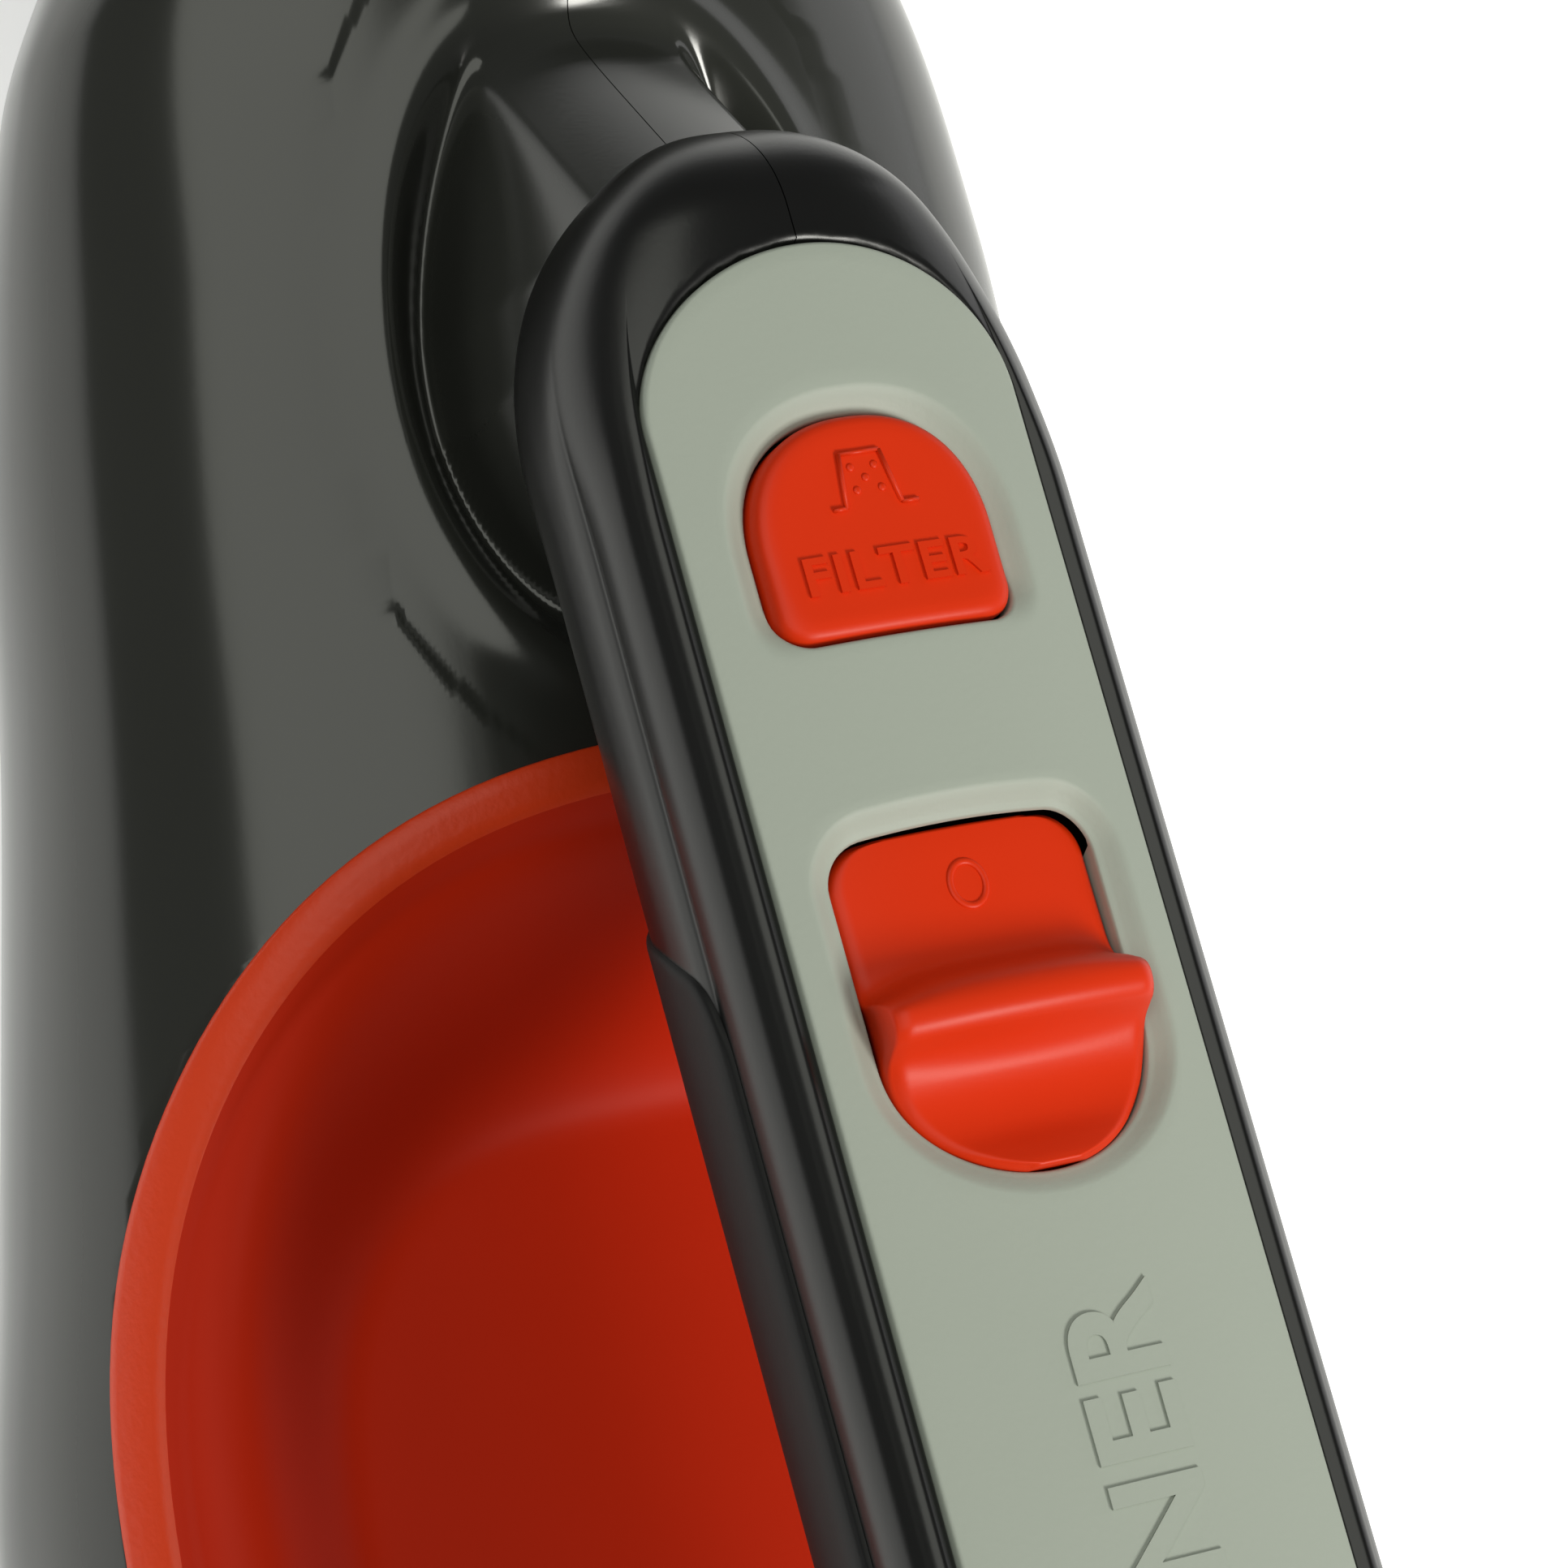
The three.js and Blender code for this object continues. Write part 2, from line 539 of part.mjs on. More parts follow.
// The pleated cone: a star outline, drawn in towards its front.
const PLEATS = 18;
const star = new THREE.Shape();
for (let k = 0; k < 2 * PLEATS; k += 1) {
  const angle = (k * Math.PI) / PLEATS;
  const radius = FILTER_R - (k % 2 ? 3.4 : 0.4);
  const [a, b] = [radius * Math.cos(angle), radius * Math.sin(angle)];
  if (k === 0) star.moveTo(a, b);
  else star.lineTo(a, b);
}
const pleated = new THREE.ExtrudeGeometry(star, { depth: 40, steps: 1, bevelEnabled: false });
const pleatPoints = pleated.attributes.position;
for (let i = 0; i < pleatPoints.count; i += 1) {
  const t = pleatPoints.getZ(i) / 40;
  const shrink = 1 - 0.42 * t;
  const [across, up] = [pleatPoints.getX(i) * shrink, pleatPoints.getY(i) * shrink];
  pleatPoints.setXYZ(i, 92.4 + 40 * t, across, FILTER_Z - 4 * t + up);
}
add("filter_element", solid(pleated), "paper");

// ---------- motor and fan ----------
const CAN_REAR = 22;
const CAN_FRONT = 54;
const BORE = SHAFT_R + GAP;
const can = [
  [6.2, CAN_REAR], [CAN_R, CAN_REAR], [CAN_R, CAN_FRONT], [6.2, CAN_FRONT],
  [6.2, CAN_FRONT - 2], [13, CAN_FRONT - 2], [13, CAN_REAR + 2], [6.2, CAN_REAR + 2],
];
add("motor_can", turned(can, AXIS_Z), "steel");
add("motor_armature", turned(ringOutline(BORE, 11.5, 28, 48), AXIS_Z), "copper");
add("motor_shaft", rod("x", 14, 69, SHAFT_R, [0, AXIS_Z], 16), "steel");
const rearMount = ringOutline(6, CAN_R + 0.2, CAN_REAR - 4, CAN_REAR - GAP);
add("motor_mount_rear", turned(rearMount, AXIS_Z), "black");
add("motor_mount_front", turned(ringOutline(6, 18, CAN_FRONT + GAP, 57), AXIS_Z), "black");
add("bearing_rear", turned(ringOutline(BORE, 5.7, 18, 24), AXIS_Z), "steel");
add("bearing_front", turned(ringOutline(BORE, 5.7, 52.5, 57), AXIS_Z), "steel");

const hub = [[BORE, 59.5], [13.4, 59.5], [13.4, 61], [4.5, 62.5], [4.5, 67], [BORE, 67]];
let impeller = turned(hub, AXIS_Z, 24);
const BLADES = 9;
for (let k = 0; k < BLADES; k += 1) {
  const blade = new THREE.BoxGeometry(5, 9.2, 1).translate(63, 8.2, 0).rotateX((k * 2 * Math.PI) / BLADES);
  impeller = impeller.add(solid(blade.translate(0, 0, AXIS_Z)));
}
add("fan_impeller", impeller, "black");
const shroud = [[9, 71], [SHROUD_R, 69], [SHROUD_R, 57.4], [14.2, 57.4], [14.2, 68], [9, 69.5]];
add("fan_shroud", turned(shroud, AXIS_Z), "black");

// ---------- battery and board ----------
const CELL = { radius: 9.1, rear: -112, front: -47, z: 30, pitch: 19.2 };
const cellY = [-1.5, -0.5, 0.5, 1.5].map((k) => k * CELL.pitch);
let tray = box(-116, -43, -33, 33, 18, 27);
cellY.forEach((y, k) => {
  add(`battery_cell_${k + 1}`, rod("x", CELL.rear, CELL.front, CELL.radius, [y, CELL.z], 20), "blue");
  tray = tray.subtract(rod("x", -130, -30, CELL.radius + GAP, [y, CELL.z], 20));
});
add("battery_tray", tray, "black");
let board = box(-108, -50, -26, 26, 46, 47.6);
board = board.add(rod("z", 47, 54, 4, [-60, 14], 16)).add(rod("z", 47, 54, 4, [-60, 2], 16));
board = board.add(box(-92, -78, -8, 8, 47, 50)).add(box(-104, -98, -16, 4, 47, 53));
add("circuit_board", board, "green");

export default group;
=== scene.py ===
"""A cordless handheld vacuum cleaner: grey housing, bridge handle with its controls, and dust bowl."""
import json
from math import atan2, cos, exp, hypot, pi, sin, sqrt

import bmesh
import bpy
from mathutils import Matrix, Vector


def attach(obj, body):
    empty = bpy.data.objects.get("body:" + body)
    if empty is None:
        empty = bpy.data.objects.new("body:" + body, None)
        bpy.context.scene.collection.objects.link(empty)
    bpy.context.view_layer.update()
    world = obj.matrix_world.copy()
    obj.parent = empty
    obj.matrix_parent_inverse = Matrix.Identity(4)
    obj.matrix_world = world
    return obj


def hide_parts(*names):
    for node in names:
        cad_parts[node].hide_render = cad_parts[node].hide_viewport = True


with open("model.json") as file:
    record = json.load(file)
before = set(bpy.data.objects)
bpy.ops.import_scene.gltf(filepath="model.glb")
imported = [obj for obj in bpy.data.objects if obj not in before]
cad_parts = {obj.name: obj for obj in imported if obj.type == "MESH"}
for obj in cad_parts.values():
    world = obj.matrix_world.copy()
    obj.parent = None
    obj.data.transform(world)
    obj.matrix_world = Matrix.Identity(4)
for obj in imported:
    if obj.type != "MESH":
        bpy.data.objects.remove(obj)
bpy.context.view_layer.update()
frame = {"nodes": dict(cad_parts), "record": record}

MM = 0.001

# ---------- camera ----------
# A long lens looks down on the handle from the left and a little behind, turned so that the
# handle runs up the picture.
CAMERA_TARGET = Vector((-11.0, 13.5, 128.0))
CAMERA_BACK = Vector((-0.200, 0.445, 0.873)).normalized()
CAMERA_RIGHT = Vector((-0.2616, -0.8823, 0.3896)).normalized()
CAMERA_DISTANCE = 400.0
camera_data = bpy.data.cameras.new("camera")
camera_data.sensor_width = 36.0
camera_data.lens = 126.7
camera_data.clip_start = 0.01
camera_data.clip_end = 20.0
camera = bpy.data.objects.new("camera", camera_data)
bpy.context.scene.collection.objects.link(camera)
camera_up = CAMERA_BACK.cross(CAMERA_RIGHT)
turn = Matrix((CAMERA_RIGHT, camera_up, CAMERA_BACK)).transposed().to_4x4()
place_at = (CAMERA_TARGET + CAMERA_DISTANCE * CAMERA_BACK) * MM
camera.matrix_world = Matrix.Translation(place_at) @ turn
bpy.context.scene.camera = camera

# ---------- floor and lights ----------
# White seamless paper under a big overhead softbox, a key light behind, a card on the right and a
# dim room.
floor_mesh = bmesh.new()
bmesh.ops.create_grid(floor_mesh, x_segments=1, y_segments=1, size=6.0)
floor_data = bpy.data.meshes.new("floor")
floor_mesh.to_mesh(floor_data)
floor_mesh.free()
floor = bpy.data.objects.new("floor", floor_data)
bpy.context.scene.collection.objects.link(floor)


def linear(hex_colour):
    """An sRGB hex colour as linear red, green, blue and alpha."""
    parts = [int(hex_colour[i:i + 2], 16) / 255 for i in (1, 3, 5)]
    return [c / 12.92 if c <= 0.04045 else ((c + 0.055) / 1.055) ** 2.4 for c in parts] + [1.0]


def node(tree, kind, settings=None, links=None):
    """Adds a shader node, sets its inputs and properties, and links outputs into its inputs."""
    made = tree.nodes.new(kind)
    for key, value in (settings or {}).items():
        if isinstance(key, str) and hasattr(made, key):
            setattr(made, key, value)
        else:
            made.inputs[key].default_value = value
    for key, source in (links or {}).items():
        tree.links.new(source, made.inputs[key])
    return made


def new_material(name):
    """A fresh material and its empty node tree."""
    made = bpy.data.materials.new(name)
    made.use_nodes = True
    made.node_tree.nodes.clear()
    return made, made.node_tree


# Matt white paper with a faint glow of its own, so that it stays an even white.
paper, tree = new_material("seamless_paper")
shader = node(tree, "ShaderNodeBsdfPrincipled", {"Base Color": linear("#FFFFFF"), "Roughness": 0.9})
shader.inputs["Emission Color"].default_value = (1, 1, 1, 1)
shader.inputs["Emission Strength"].default_value = 0.45
node(tree, "ShaderNodeOutputMaterial", links={"Surface": shader.outputs["BSDF"]})
floor_data.materials.append(paper)

world = bpy.data.worlds.new("studio")
world.use_nodes = True
world.node_tree.nodes["Background"].inputs["Color"].default_value = (0.83, 0.85, 0.82, 1)
world.node_tree.nodes["Background"].inputs["Strength"].default_value = 0.14
bpy.context.scene.world = world
bpy.context.scene.view_settings.view_transform = "Standard"


def softbox(name, at, aim, width, height, watts, colour="#FFFFFF"):
    """A rectangular studio light at one point, aimed at another, in metres."""
    data = bpy.data.lights.new(name, "AREA")
    data.shape = "RECTANGLE"
    data.size = width
    data.size_y = height
    data.energy = watts
    data.color = linear(colour)[:3]
    lamp = bpy.data.objects.new(name, data)
    bpy.context.scene.collection.objects.link(lamp)
    lamp.location = at
    lamp.rotation_mode = "QUATERNION"
    lamp.rotation_quaternion = (Vector(aim) - Vector(at)).to_track_quat("-Z", "Y")


softbox("top_box", (0.1, 0.55, 1.25), (0, 0, 0.1), 1.6, 1.05, 8.5, "#FDFFF4")
softbox("rear_key", (-0.95, -0.5, 1.0), (0, 0, 0.1), 0.45, 0.45, 15, "#FFFEF6")
softbox("right_card", (0.25, -1.6, 0.45), (0, 0, 0.1), 1.7, 0.8, 4)

# ---------- housing ----------
# Two mirrored shells of injection-moulded ABS in a glossy dark titanium grey, screwed together on
# the centre plane. A neck rises out of an oval dish in their top to carry the handle.
SPLIT = 0.05
HOUSING_POWER = 2.2
HOUSING_ROUND = 60.0
HOUSING_REAR = -205.0
HOUSING_FRONT = 90.0
HOUSING_SECTIONS = [
    (90, 80, 28.5, 20, 26), (82.5, 80, 31, 21, 29), (68, 80, 39, 22, 34), (45, 73, 44, 27, 38),
    (20, 66, 46.5, 28, 42), (0, 60, 49.5, 31, 45), (-20, 52, 52.5, 35, 44), (-46, 44, 57, 36.5, 40),
    (-90, 43, 58, 33, 39), (-130, 45, 55, 30, 39), (-205, 47, 50, 27, 37),
]


def section_at(table, x):
    """The smooth centre height, half width, rise and depth of a section table at x."""
    last = len(table) - 1
    falling = table[0][0] > table[1][0]
    i = 0
    while i < last - 1 and (x < table[i + 1][0]) == falling:
        i += 1
    p, q = table[i], table[i + 1]
    span = q[0] - p[0]
    t = min(1.0, max(0.0, (x - p[0]) / span))

    def slope(k, c):
        low, high = table[max(k - 1, 0)], table[min(k + 1, last)]
        return (high[c] - low[c]) / (high[0] - low[0])

    blend = (2 * t**3 - 3 * t**2 + 1, t**3 - 2 * t**2 + t, 3 * t**2 - 2 * t**3, t**3 - t**2)
    return [blend[0] * p[c] + blend[1] * span * slope(i, c) + blend[2] * q[c]
            + blend[3] * span * slope(i + 1, c) for c in (1, 2, 3, 4)]


def housing_section(x):
    """Centre height, half width, rise and depth at x, closing in a round at the back."""
    centre, half, rise, depth = section_at(HOUSING_SECTIONS, x)
    past = max(0.0, (HOUSING_REAR + HOUSING_ROUND - x) / HOUSING_ROUND)
    close = sqrt(max(0.0, 1 - past**2))
    return centre, half * close, rise * close, depth * close


def crown(x, y):
    """Height of the plain housing's top at x and y."""
    centre, half, rise, _ = housing_section(x)
    inside = max(0.0, 1 - (min(abs(y), half) / max(half, 1e-6)) ** HOUSING_POWER)
    return centre + rise * inside ** (1 / HOUSING_POWER)


def ease(t):
    """Smooth step from 0 to 1."""
    t = min(1.0, max(0.0, t))
    return t * t * (3 - 2 * t)


# The finger pocket's outline in plan, as a squared oval, its floor, how far it stands proud of the
# housing, and the room left under its floor.
POCKET_CENTRE = -64.0
POCKET_LONG = 67.0
POCKET_HALF = 53.0
POCKET_POWER = 2.95
POCKET_FLOOR = 62.0
POCKET_PROUD = 0.7
POCKET_ROOM = 4.0


def pocket_radius(x, y):
    """0 at the middle of the finger pocket and 1 on its rim."""
    along = abs((x - POCKET_CENTRE) / POCKET_LONG) ** POCKET_POWER
    return (along + abs(y / POCKET_HALF) ** POCKET_POWER) ** (1 / POCKET_POWER)


# The dish round the neck is an oval with a steep wall and a low raised rim, in parts of its radius.
DISH_X = 35.0
DISH_LONG = 29.0
DISH_HALF = 20.5
DISH_DEPTH = 12.0
DISH_WALL = 0.42
RIM_PROUD = 0.45
RIM_AT = 1.02
RIM_SPREAD = 0.075

# The neck is a ramp from its front foot and a steep back, with sides that fall away at a shoulder.
NECK_FRONT_X = 62.5
NECK_FRONT_Z = 97.6
NECK_FRONT_SLOPE = 0.79
NECK_BACK_X = 12.0
NECK_BACK_Z = 88.0
NECK_BACK_SLOPE = 1.7
NECK_TOP = 118.0
NECK_HALF = 10.4
NECK_SHOULDER = 2.0
NECK_FALL = 0.8
NECK_FALL_POWER = 1.7
NECK_CROWN = 0.02
NECK_FILLET = 14.0
NECK_SINK = 0.2


def neck_top(x):
    """Height of the neck's flat top: a ramp up to the handle, then a steep back."""
    front = NECK_FRONT_Z + (NECK_FRONT_X - x) * NECK_FRONT_SLOPE
    back = NECK_BACK_Z + (x - NECK_BACK_X) * NECK_BACK_SLOPE
    return min(front, back, NECK_TOP)


def housing_top(x, y):
    """Height of the finished housing's top: crown, dish, neck and the seat of the pocket."""
    z = crown(x, y)
    reach = hypot((x - DISH_X) / DISH_LONG, y / DISH_HALF)
    if reach < 1.3 and x > 2:
        z -= DISH_DEPTH * ease((1 - reach) / DISH_WALL)
        z += RIM_PROUD * exp(-((reach - RIM_AT) / RIM_SPREAD) ** 2)
        side = max(0.0, abs(y) - NECK_HALF + NECK_SHOULDER)
        neck = neck_top(x) - NECK_FALL * side**NECK_FALL_POWER - NECK_CROWN * y * y
        z = (z + neck + sqrt((z - neck) ** 2 + NECK_FILLET)) / 2 - NECK_SINK
    ring = pocket_radius(x, y)
    if ring < 1:
        z -= max(0.0, z - POCKET_FLOOR + POCKET_ROOM) * ease((0.985 - ring) / 0.03)
    return z


MERGE = 0.004 * MM


def sheet(bm, columns, rows, place):
    """Adds a grid of faces whose corner (i, j) stands at place(i, j), in millimetres."""
    made = bmesh.ops.create_grid(bm, x_segments=columns, y_segments=rows, size=1.0)["verts"]
    for corner in made:
        i = round((corner.co.x + 1) / 2 * columns)
        j = round((corner.co.y + 1) / 2 * rows)
        corner.co = Vector(place(i, j)) * MM


def face_out(bm, out):
    """Turns the faces so that they look away from the line or point given by out(centre)."""
    bm.normal_update()
    score = sum(f.calc_area() * f.normal.dot(out(f.calc_center_median())) for f in bm.faces)
    if score < 0:
        bmesh.ops.reverse_faces(bm, faces=bm.faces)


def finish_piece(name, bm, material, body, replaced=(), wall=0.0):
    """Makes the mesh an object, smooth shaded, gives it a wall and a body, and hides the CAD nodes it
    replaces.
    """
    bmesh.ops.remove_doubles(bm, verts=bm.verts, dist=MERGE)
    bmesh.ops.dissolve_degenerate(bm, edges=bm.edges, dist=0.001 * MM)
    for edge in bm.edges:
        edge.smooth = not edge.is_boundary
    data = bpy.data.meshes.new(name)
    bm.to_mesh(data)
    bm.free()
    data.polygons.foreach_set("use_smooth", [True] * len(data.polygons))
    data.materials.append(material)
    piece = bpy.data.objects.new(name, data)
    bpy.context.scene.collection.objects.link(piece)
    if wall:
        solidify = piece.modifiers.new("wall", "SOLIDIFY")
        solidify.thickness = wall * MM
        solidify.offset = -1.0
    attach(piece, body)
    if replaced:
        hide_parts(*replaced)
    return piece


FLOW_MARK = 38.0


def moulded_plastic(name, colour, roughness, grain_mm, grain_depth, mottle=0.06, gloss=0.5):
    """Injection-moulded plastic: an even colour with faint flow marks, and a fine surface grain."""
    made, tree = new_material(name)
    place = node(tree, "ShaderNodeTexCoord").outputs["Object"]
    flow = node(tree, "ShaderNodeTexNoise",
                {"Scale": 1 / (FLOW_MARK * MM), "Detail": 3.0, "Roughness": 0.55}, {"Vector": place})
    grain = node(tree, "ShaderNodeTexNoise", {"Scale": 1 / (grain_mm * MM), "Detail": 2.0},
                 {"Vector": place})
    base = linear(colour)
    tone = node(tree, "ShaderNodeMix", {"data_type": "RGBA"}, {0: flow.outputs["Fac"]})
    tone.inputs[6].default_value = [c * (1 - mottle) for c in base[:3]] + [1.0]
    tone.inputs[7].default_value = [min(1.0, c * (1 + mottle)) for c in base[:3]] + [1.0]
    rub = node(tree, "ShaderNodeMapRange", {"To Min": roughness * 0.86, "To Max": roughness * 1.16},
               {"Value": flow.outputs["Fac"]})
    bump = node(tree, "ShaderNodeBump", {"Strength": 1.0, "Distance": grain_depth * MM},
                {"Height": grain.outputs["Fac"]})
    shader = node(tree, "ShaderNodeBsdfPrincipled",
                  {"IOR": 1.5, "Specular IOR Level": gloss},
                  {"Base Color": tone.outputs[2], "Roughness": rub.outputs[0],
                   "Normal": bump.outputs[0]})
    node(tree, "ShaderNodeOutputMaterial", links={"Surface": shader.outputs["BSDF"]})
    return made


# Dark grey ABS from a polished mould: clear, slightly softened reflections.
titanium_abs = moulded_plastic("titanium_grey_abs", "#2C2D2A", 0.16, 0.5, 0.002, 0.08, 0.6)

# The mesh is finest round the dish and the neck: forward of FINE_REAR and inside FINE_HALF.
HOUSING_COLUMNS = 290
HOUSING_ROWS = 132
FINE_COLUMNS = 180
FINE_ROWS = 72
FINE_REAR = -12.0
FINE_HALF = 24.0
HOUSING_WALL = 2.0


def housing_corner(i, j):
    """A corner of the left shell: i runs to the back, j from the top round the side to the bottom."""
    if i <= FINE_COLUMNS:
        x = HOUSING_FRONT + (FINE_REAR - HOUSING_FRONT) * i / FINE_COLUMNS
    else:
        t = (i - FINE_COLUMNS) / (HOUSING_COLUMNS - FINE_COLUMNS)
        x = FINE_REAR + (HOUSING_REAR - FINE_REAR) * (0.45 * t + 0.55 * sin(t * pi / 2))
    centre, half, rise, depth = housing_section(x)
    flat = min(FINE_HALF, 0.5 * half)
    if j <= FINE_ROWS:
        y = flat * j / FINE_ROWS
        z = housing_top(x, y)
    else:
        start = atan2(sqrt(max(0.0, 1 - (flat / max(half, 1e-6)) ** HOUSING_POWER)),
                      (flat / max(half, 1e-6)) ** (HOUSING_POWER / 2))
        t = (j - FINE_ROWS) / (HOUSING_ROWS - FINE_ROWS)
        angle = start - (start + pi / 2) * t
        y = half * max(0.0, cos(angle)) ** (2 / HOUSING_POWER)
        reach = abs(sin(angle)) ** (2 / HOUSING_POWER)
        z = centre - depth * reach if angle < 0 else centre + rise * reach
        if angle > 0:
            z += housing_top(x, y) - crown(x, y)
    return x, max(y, SPLIT), z


def shell_pair(stem, columns, rows, corner, material, out, wall):
    """A left piece from its corners, and the right one as its mirror image."""
    for side in (1, -1):
        bm = bmesh.new()
        sheet(bm, columns, rows, corner)
        if side < 0:
            bmesh.ops.scale(bm, vec=(1, -1, 1), verts=bm.verts)
        face_out(bm, out)
        name = f"{stem}_{'left' if side > 0 else 'right'}"
        finish_piece(f"{name}_shell", bm, material, "housing", (name,), wall)


shell_pair("housing", HOUSING_COLUMNS, HOUSING_ROWS, housing_corner, titanium_abs,
           lambda c: Vector((0, c.y, c.z - 0.06)), HOUSING_WALL)

# ---------- finger pocket ----------
# One orange ABS panel let into the top of the housing under the handle: a satin hollow inside a
# raised band with a coarser grain.
# Orange ABS: even and satin on the controls; on the band coarser grained and a little lighter, the
# lighter tone being painted light; in the hollow duller and darker, the darker tone being painted shade.
orange_abs = moulded_plastic("orange_satin_abs", "#D63008", 0.4, 0.45, 0.006, 0.05, 0.22)
# Painted light: the band's orange is a lighter copy of the same plastic, as where the light falls on it.
orange_grained_painted_light = moulded_plastic("orange_band_grain_painted_light", "#DC3D12", 0.42, 0.8, 0.05, 0.05, 0.35)
# Painted shade: the hollow's orange is a darker copy of the same plastic, standing in for the handle's
# shadow.
orange_painted_shade = moulded_plastic("orange_hollow_painted_shade", "#C42606", 0.5, 0.45, 0.008, 0.05, 0.12)
POCKET_RINGS = 60
POCKET_SPOKES = 180
POCKET_BAND = 0.94
POCKET_FLAT = 0.62
POCKET_WALL = 1.6
BAND_STEP = 1.6
BAND_FALL = 0.4
FLOOR_FALL = 4.0
FLOOR_FALL_HALF = 52.0

# The rim turns down into the housing: how far down and how much wider at each step past it.
POCKET_EDGE = [(0.0, 0.0), (0.35, 0.0035), (1.0, 0.0045), (3.0, 0.003)]
RIM_RING = POCKET_RINGS - len(POCKET_EDGE) + 1


def pocket_corner(i, j):
    """A corner of the panel: i runs round the rim, j from the middle out to the rim."""
    angle = 2 * pi * i / POCKET_SPOKES
    ring = min(1.0, j / RIM_RING)
    unit_x = abs(cos(angle)) ** (2 / POCKET_POWER) * (1 if cos(angle) >= 0 else -1)
    unit_y = abs(sin(angle)) ** (2 / POCKET_POWER) * (1 if sin(angle) >= 0 else -1)
    x = POCKET_CENTRE + POCKET_LONG * unit_x * ring
    y = POCKET_HALF * unit_y * ring
    floor_z = POCKET_FLOOR - FLOOR_FALL * (y / FLOOR_FALL_HALF) ** 2
    wall = ease((ring - POCKET_FLAT) / (POCKET_BAND - POCKET_FLAT))
    top_z = crown(x, y) + POCKET_PROUD
    inner_z = floor_z + (top_z - BAND_STEP - floor_z) * wall * 0.95
    band = ease((ring - POCKET_BAND + 0.014) / 0.026)
    z = inner_z + (top_z - BAND_FALL * (1 - ring) / (1 - POCKET_BAND) - inner_z) * band
    drop, spread = POCKET_EDGE[max(0, j - RIM_RING)]
    return x + (x - POCKET_CENTRE) * spread, y * (1 + spread), z - drop


bm = bmesh.new()
sheet(bm, POCKET_SPOKES, POCKET_RINGS, pocket_corner)
face_out(bm, lambda c: Vector((0, 0, 1)))
# The panel starts with the darker orange, which is painted shade in the hollow.
pocket = finish_piece("hand_pocket_panel", bm, orange_painted_shade, "housing",
                      ("hand_pocket",), POCKET_WALL)
# Faces on the band get the lighter orange, which is painted light; the rest keep the painted shade.
pocket.data.materials.append(orange_grained_painted_light)
for face in pocket.data.polygons:
    middle = face.center / MM
    if pocket_radius(middle.x, middle.y) > POCKET_BAND + 0.004:
        face.material_index = 1

# ---------- handle ----------
# Two mirrored shells of high-gloss black ABS. A straight bar over the pocket with a rounded nose,
# bent down at the back to stand on the housing; a step and a crease run along each side.
HANDLE_Z = 115.5
HANDLE_NOSE = 43.0
NOSE_WIDE = 25.0
NOSE_TALL = 10.0
BEND_X = -112.0
BEND_RADIUS = 45.0
BEND_ANGLE = 1.5
HANDLE_HALF = 19.6
HANDLE_TALL = 12.1
HANDLE_WALL = 1.6
PLAIN_POWER = 3.0
RIDGE_START = 14.0
RIDGE_FULL = 34.0
INSERT_HALF = 15.6
INSERT_FRONT = 30.0
INSERT_REAR = -118.0
FRONT_ARC = 13.0
SEAT_Z = 122.2
SEAT_REAR = BEND_X - 8.0

# Half of the handle's section, across and up: the top with its bead, the side with its crease, and
# the underside.
HANDLE_SECTION = [
    (0.0, HANDLE_TALL), (4.5, 11.9), (8.5, 11.5), (11.6, 11.1), (13.7, 10.7), (14.9, 10.35),
    (15.7, 10.1), (16.2, 10.3), (16.7, 10.5), (17.2, 10.3), (17.65, 9.9),
    (18.05, 9.5), (18.6, 8.8), (19.05, 7.6), (19.25, 6.2), (19.2, 4.6), (19.05, 3.7), (19.25, 3.2),
    (19.5, 2.2), (HANDLE_HALF, 0.2), (19.5, -2.0), (18.9, -4.8), (17.4, -7.4), (14.4, -9.8),
    (9.5, -11.2), (0.0, -11.5),
]


def smooth_path(points, t):
    """A point at t, from 0 to 1, on a smooth curve through evenly timed points."""
    last = len(points) - 1
    i = min(int(t * last), last - 1)
    f = t * last - i
    before, start = points[max(i - 1, 0)], points[i]
    end, after = points[i + 1], points[min(i + 2, last)]
    return [0.5 * (2 * b + (c - a) * f + (2 * a - 5 * b + 4 * c - d) * f**2
                   + (3 * b - a - 3 * c + d) * f**3)
            for a, b, c, d in zip(before, start, end, after)]


def on_handle(s, y, up):
    """A point of the handle: s millimetres back from its nose, y across and up from its middle line."""
    straight = HANDLE_NOSE - BEND_X
    x = HANDLE_NOSE - s
    narrow = sqrt(max(0.0, 1 - (max(0.0, x - HANDLE_NOSE + NOSE_WIDE) / NOSE_WIDE) ** 2))
    low = sqrt(max(0.0, 1 - (max(0.0, x - HANDLE_NOSE + NOSE_TALL) / NOSE_TALL) ** 2))
    y, up = y * narrow, up * low
    if s <= straight:
        return x, y, HANDLE_Z + up
    turned = (s - straight) / BEND_RADIUS
    reach = BEND_RADIUS + up
    return BEND_X - sin(turned) * reach, y, HANDLE_Z - BEND_RADIUS + cos(turned) * reach


HANDLE_COLUMNS = 200
HANDLE_ROWS = 100
HANDLE_LENGTH = HANDLE_NOSE - BEND_X + BEND_RADIUS * BEND_ANGLE
# Black ABS from a polished mould: soft-edged highlights on a near-black ground.
black_abs = moulded_plastic("black_gloss_abs", "#0B0B0B", 0.31, 0.5, 0.006, 0.1, 0.5)


def inside_insert(x, y):
    """Distance inside the insert's outline, in millimetres."""
    if x > INSERT_FRONT - FRONT_ARC:
        return (1 - hypot((x - INSERT_FRONT + FRONT_ARC) / FRONT_ARC, y / INSERT_HALF)) * FRONT_ARC
    return min(INSERT_HALF - abs(y), x - INSERT_REAR)


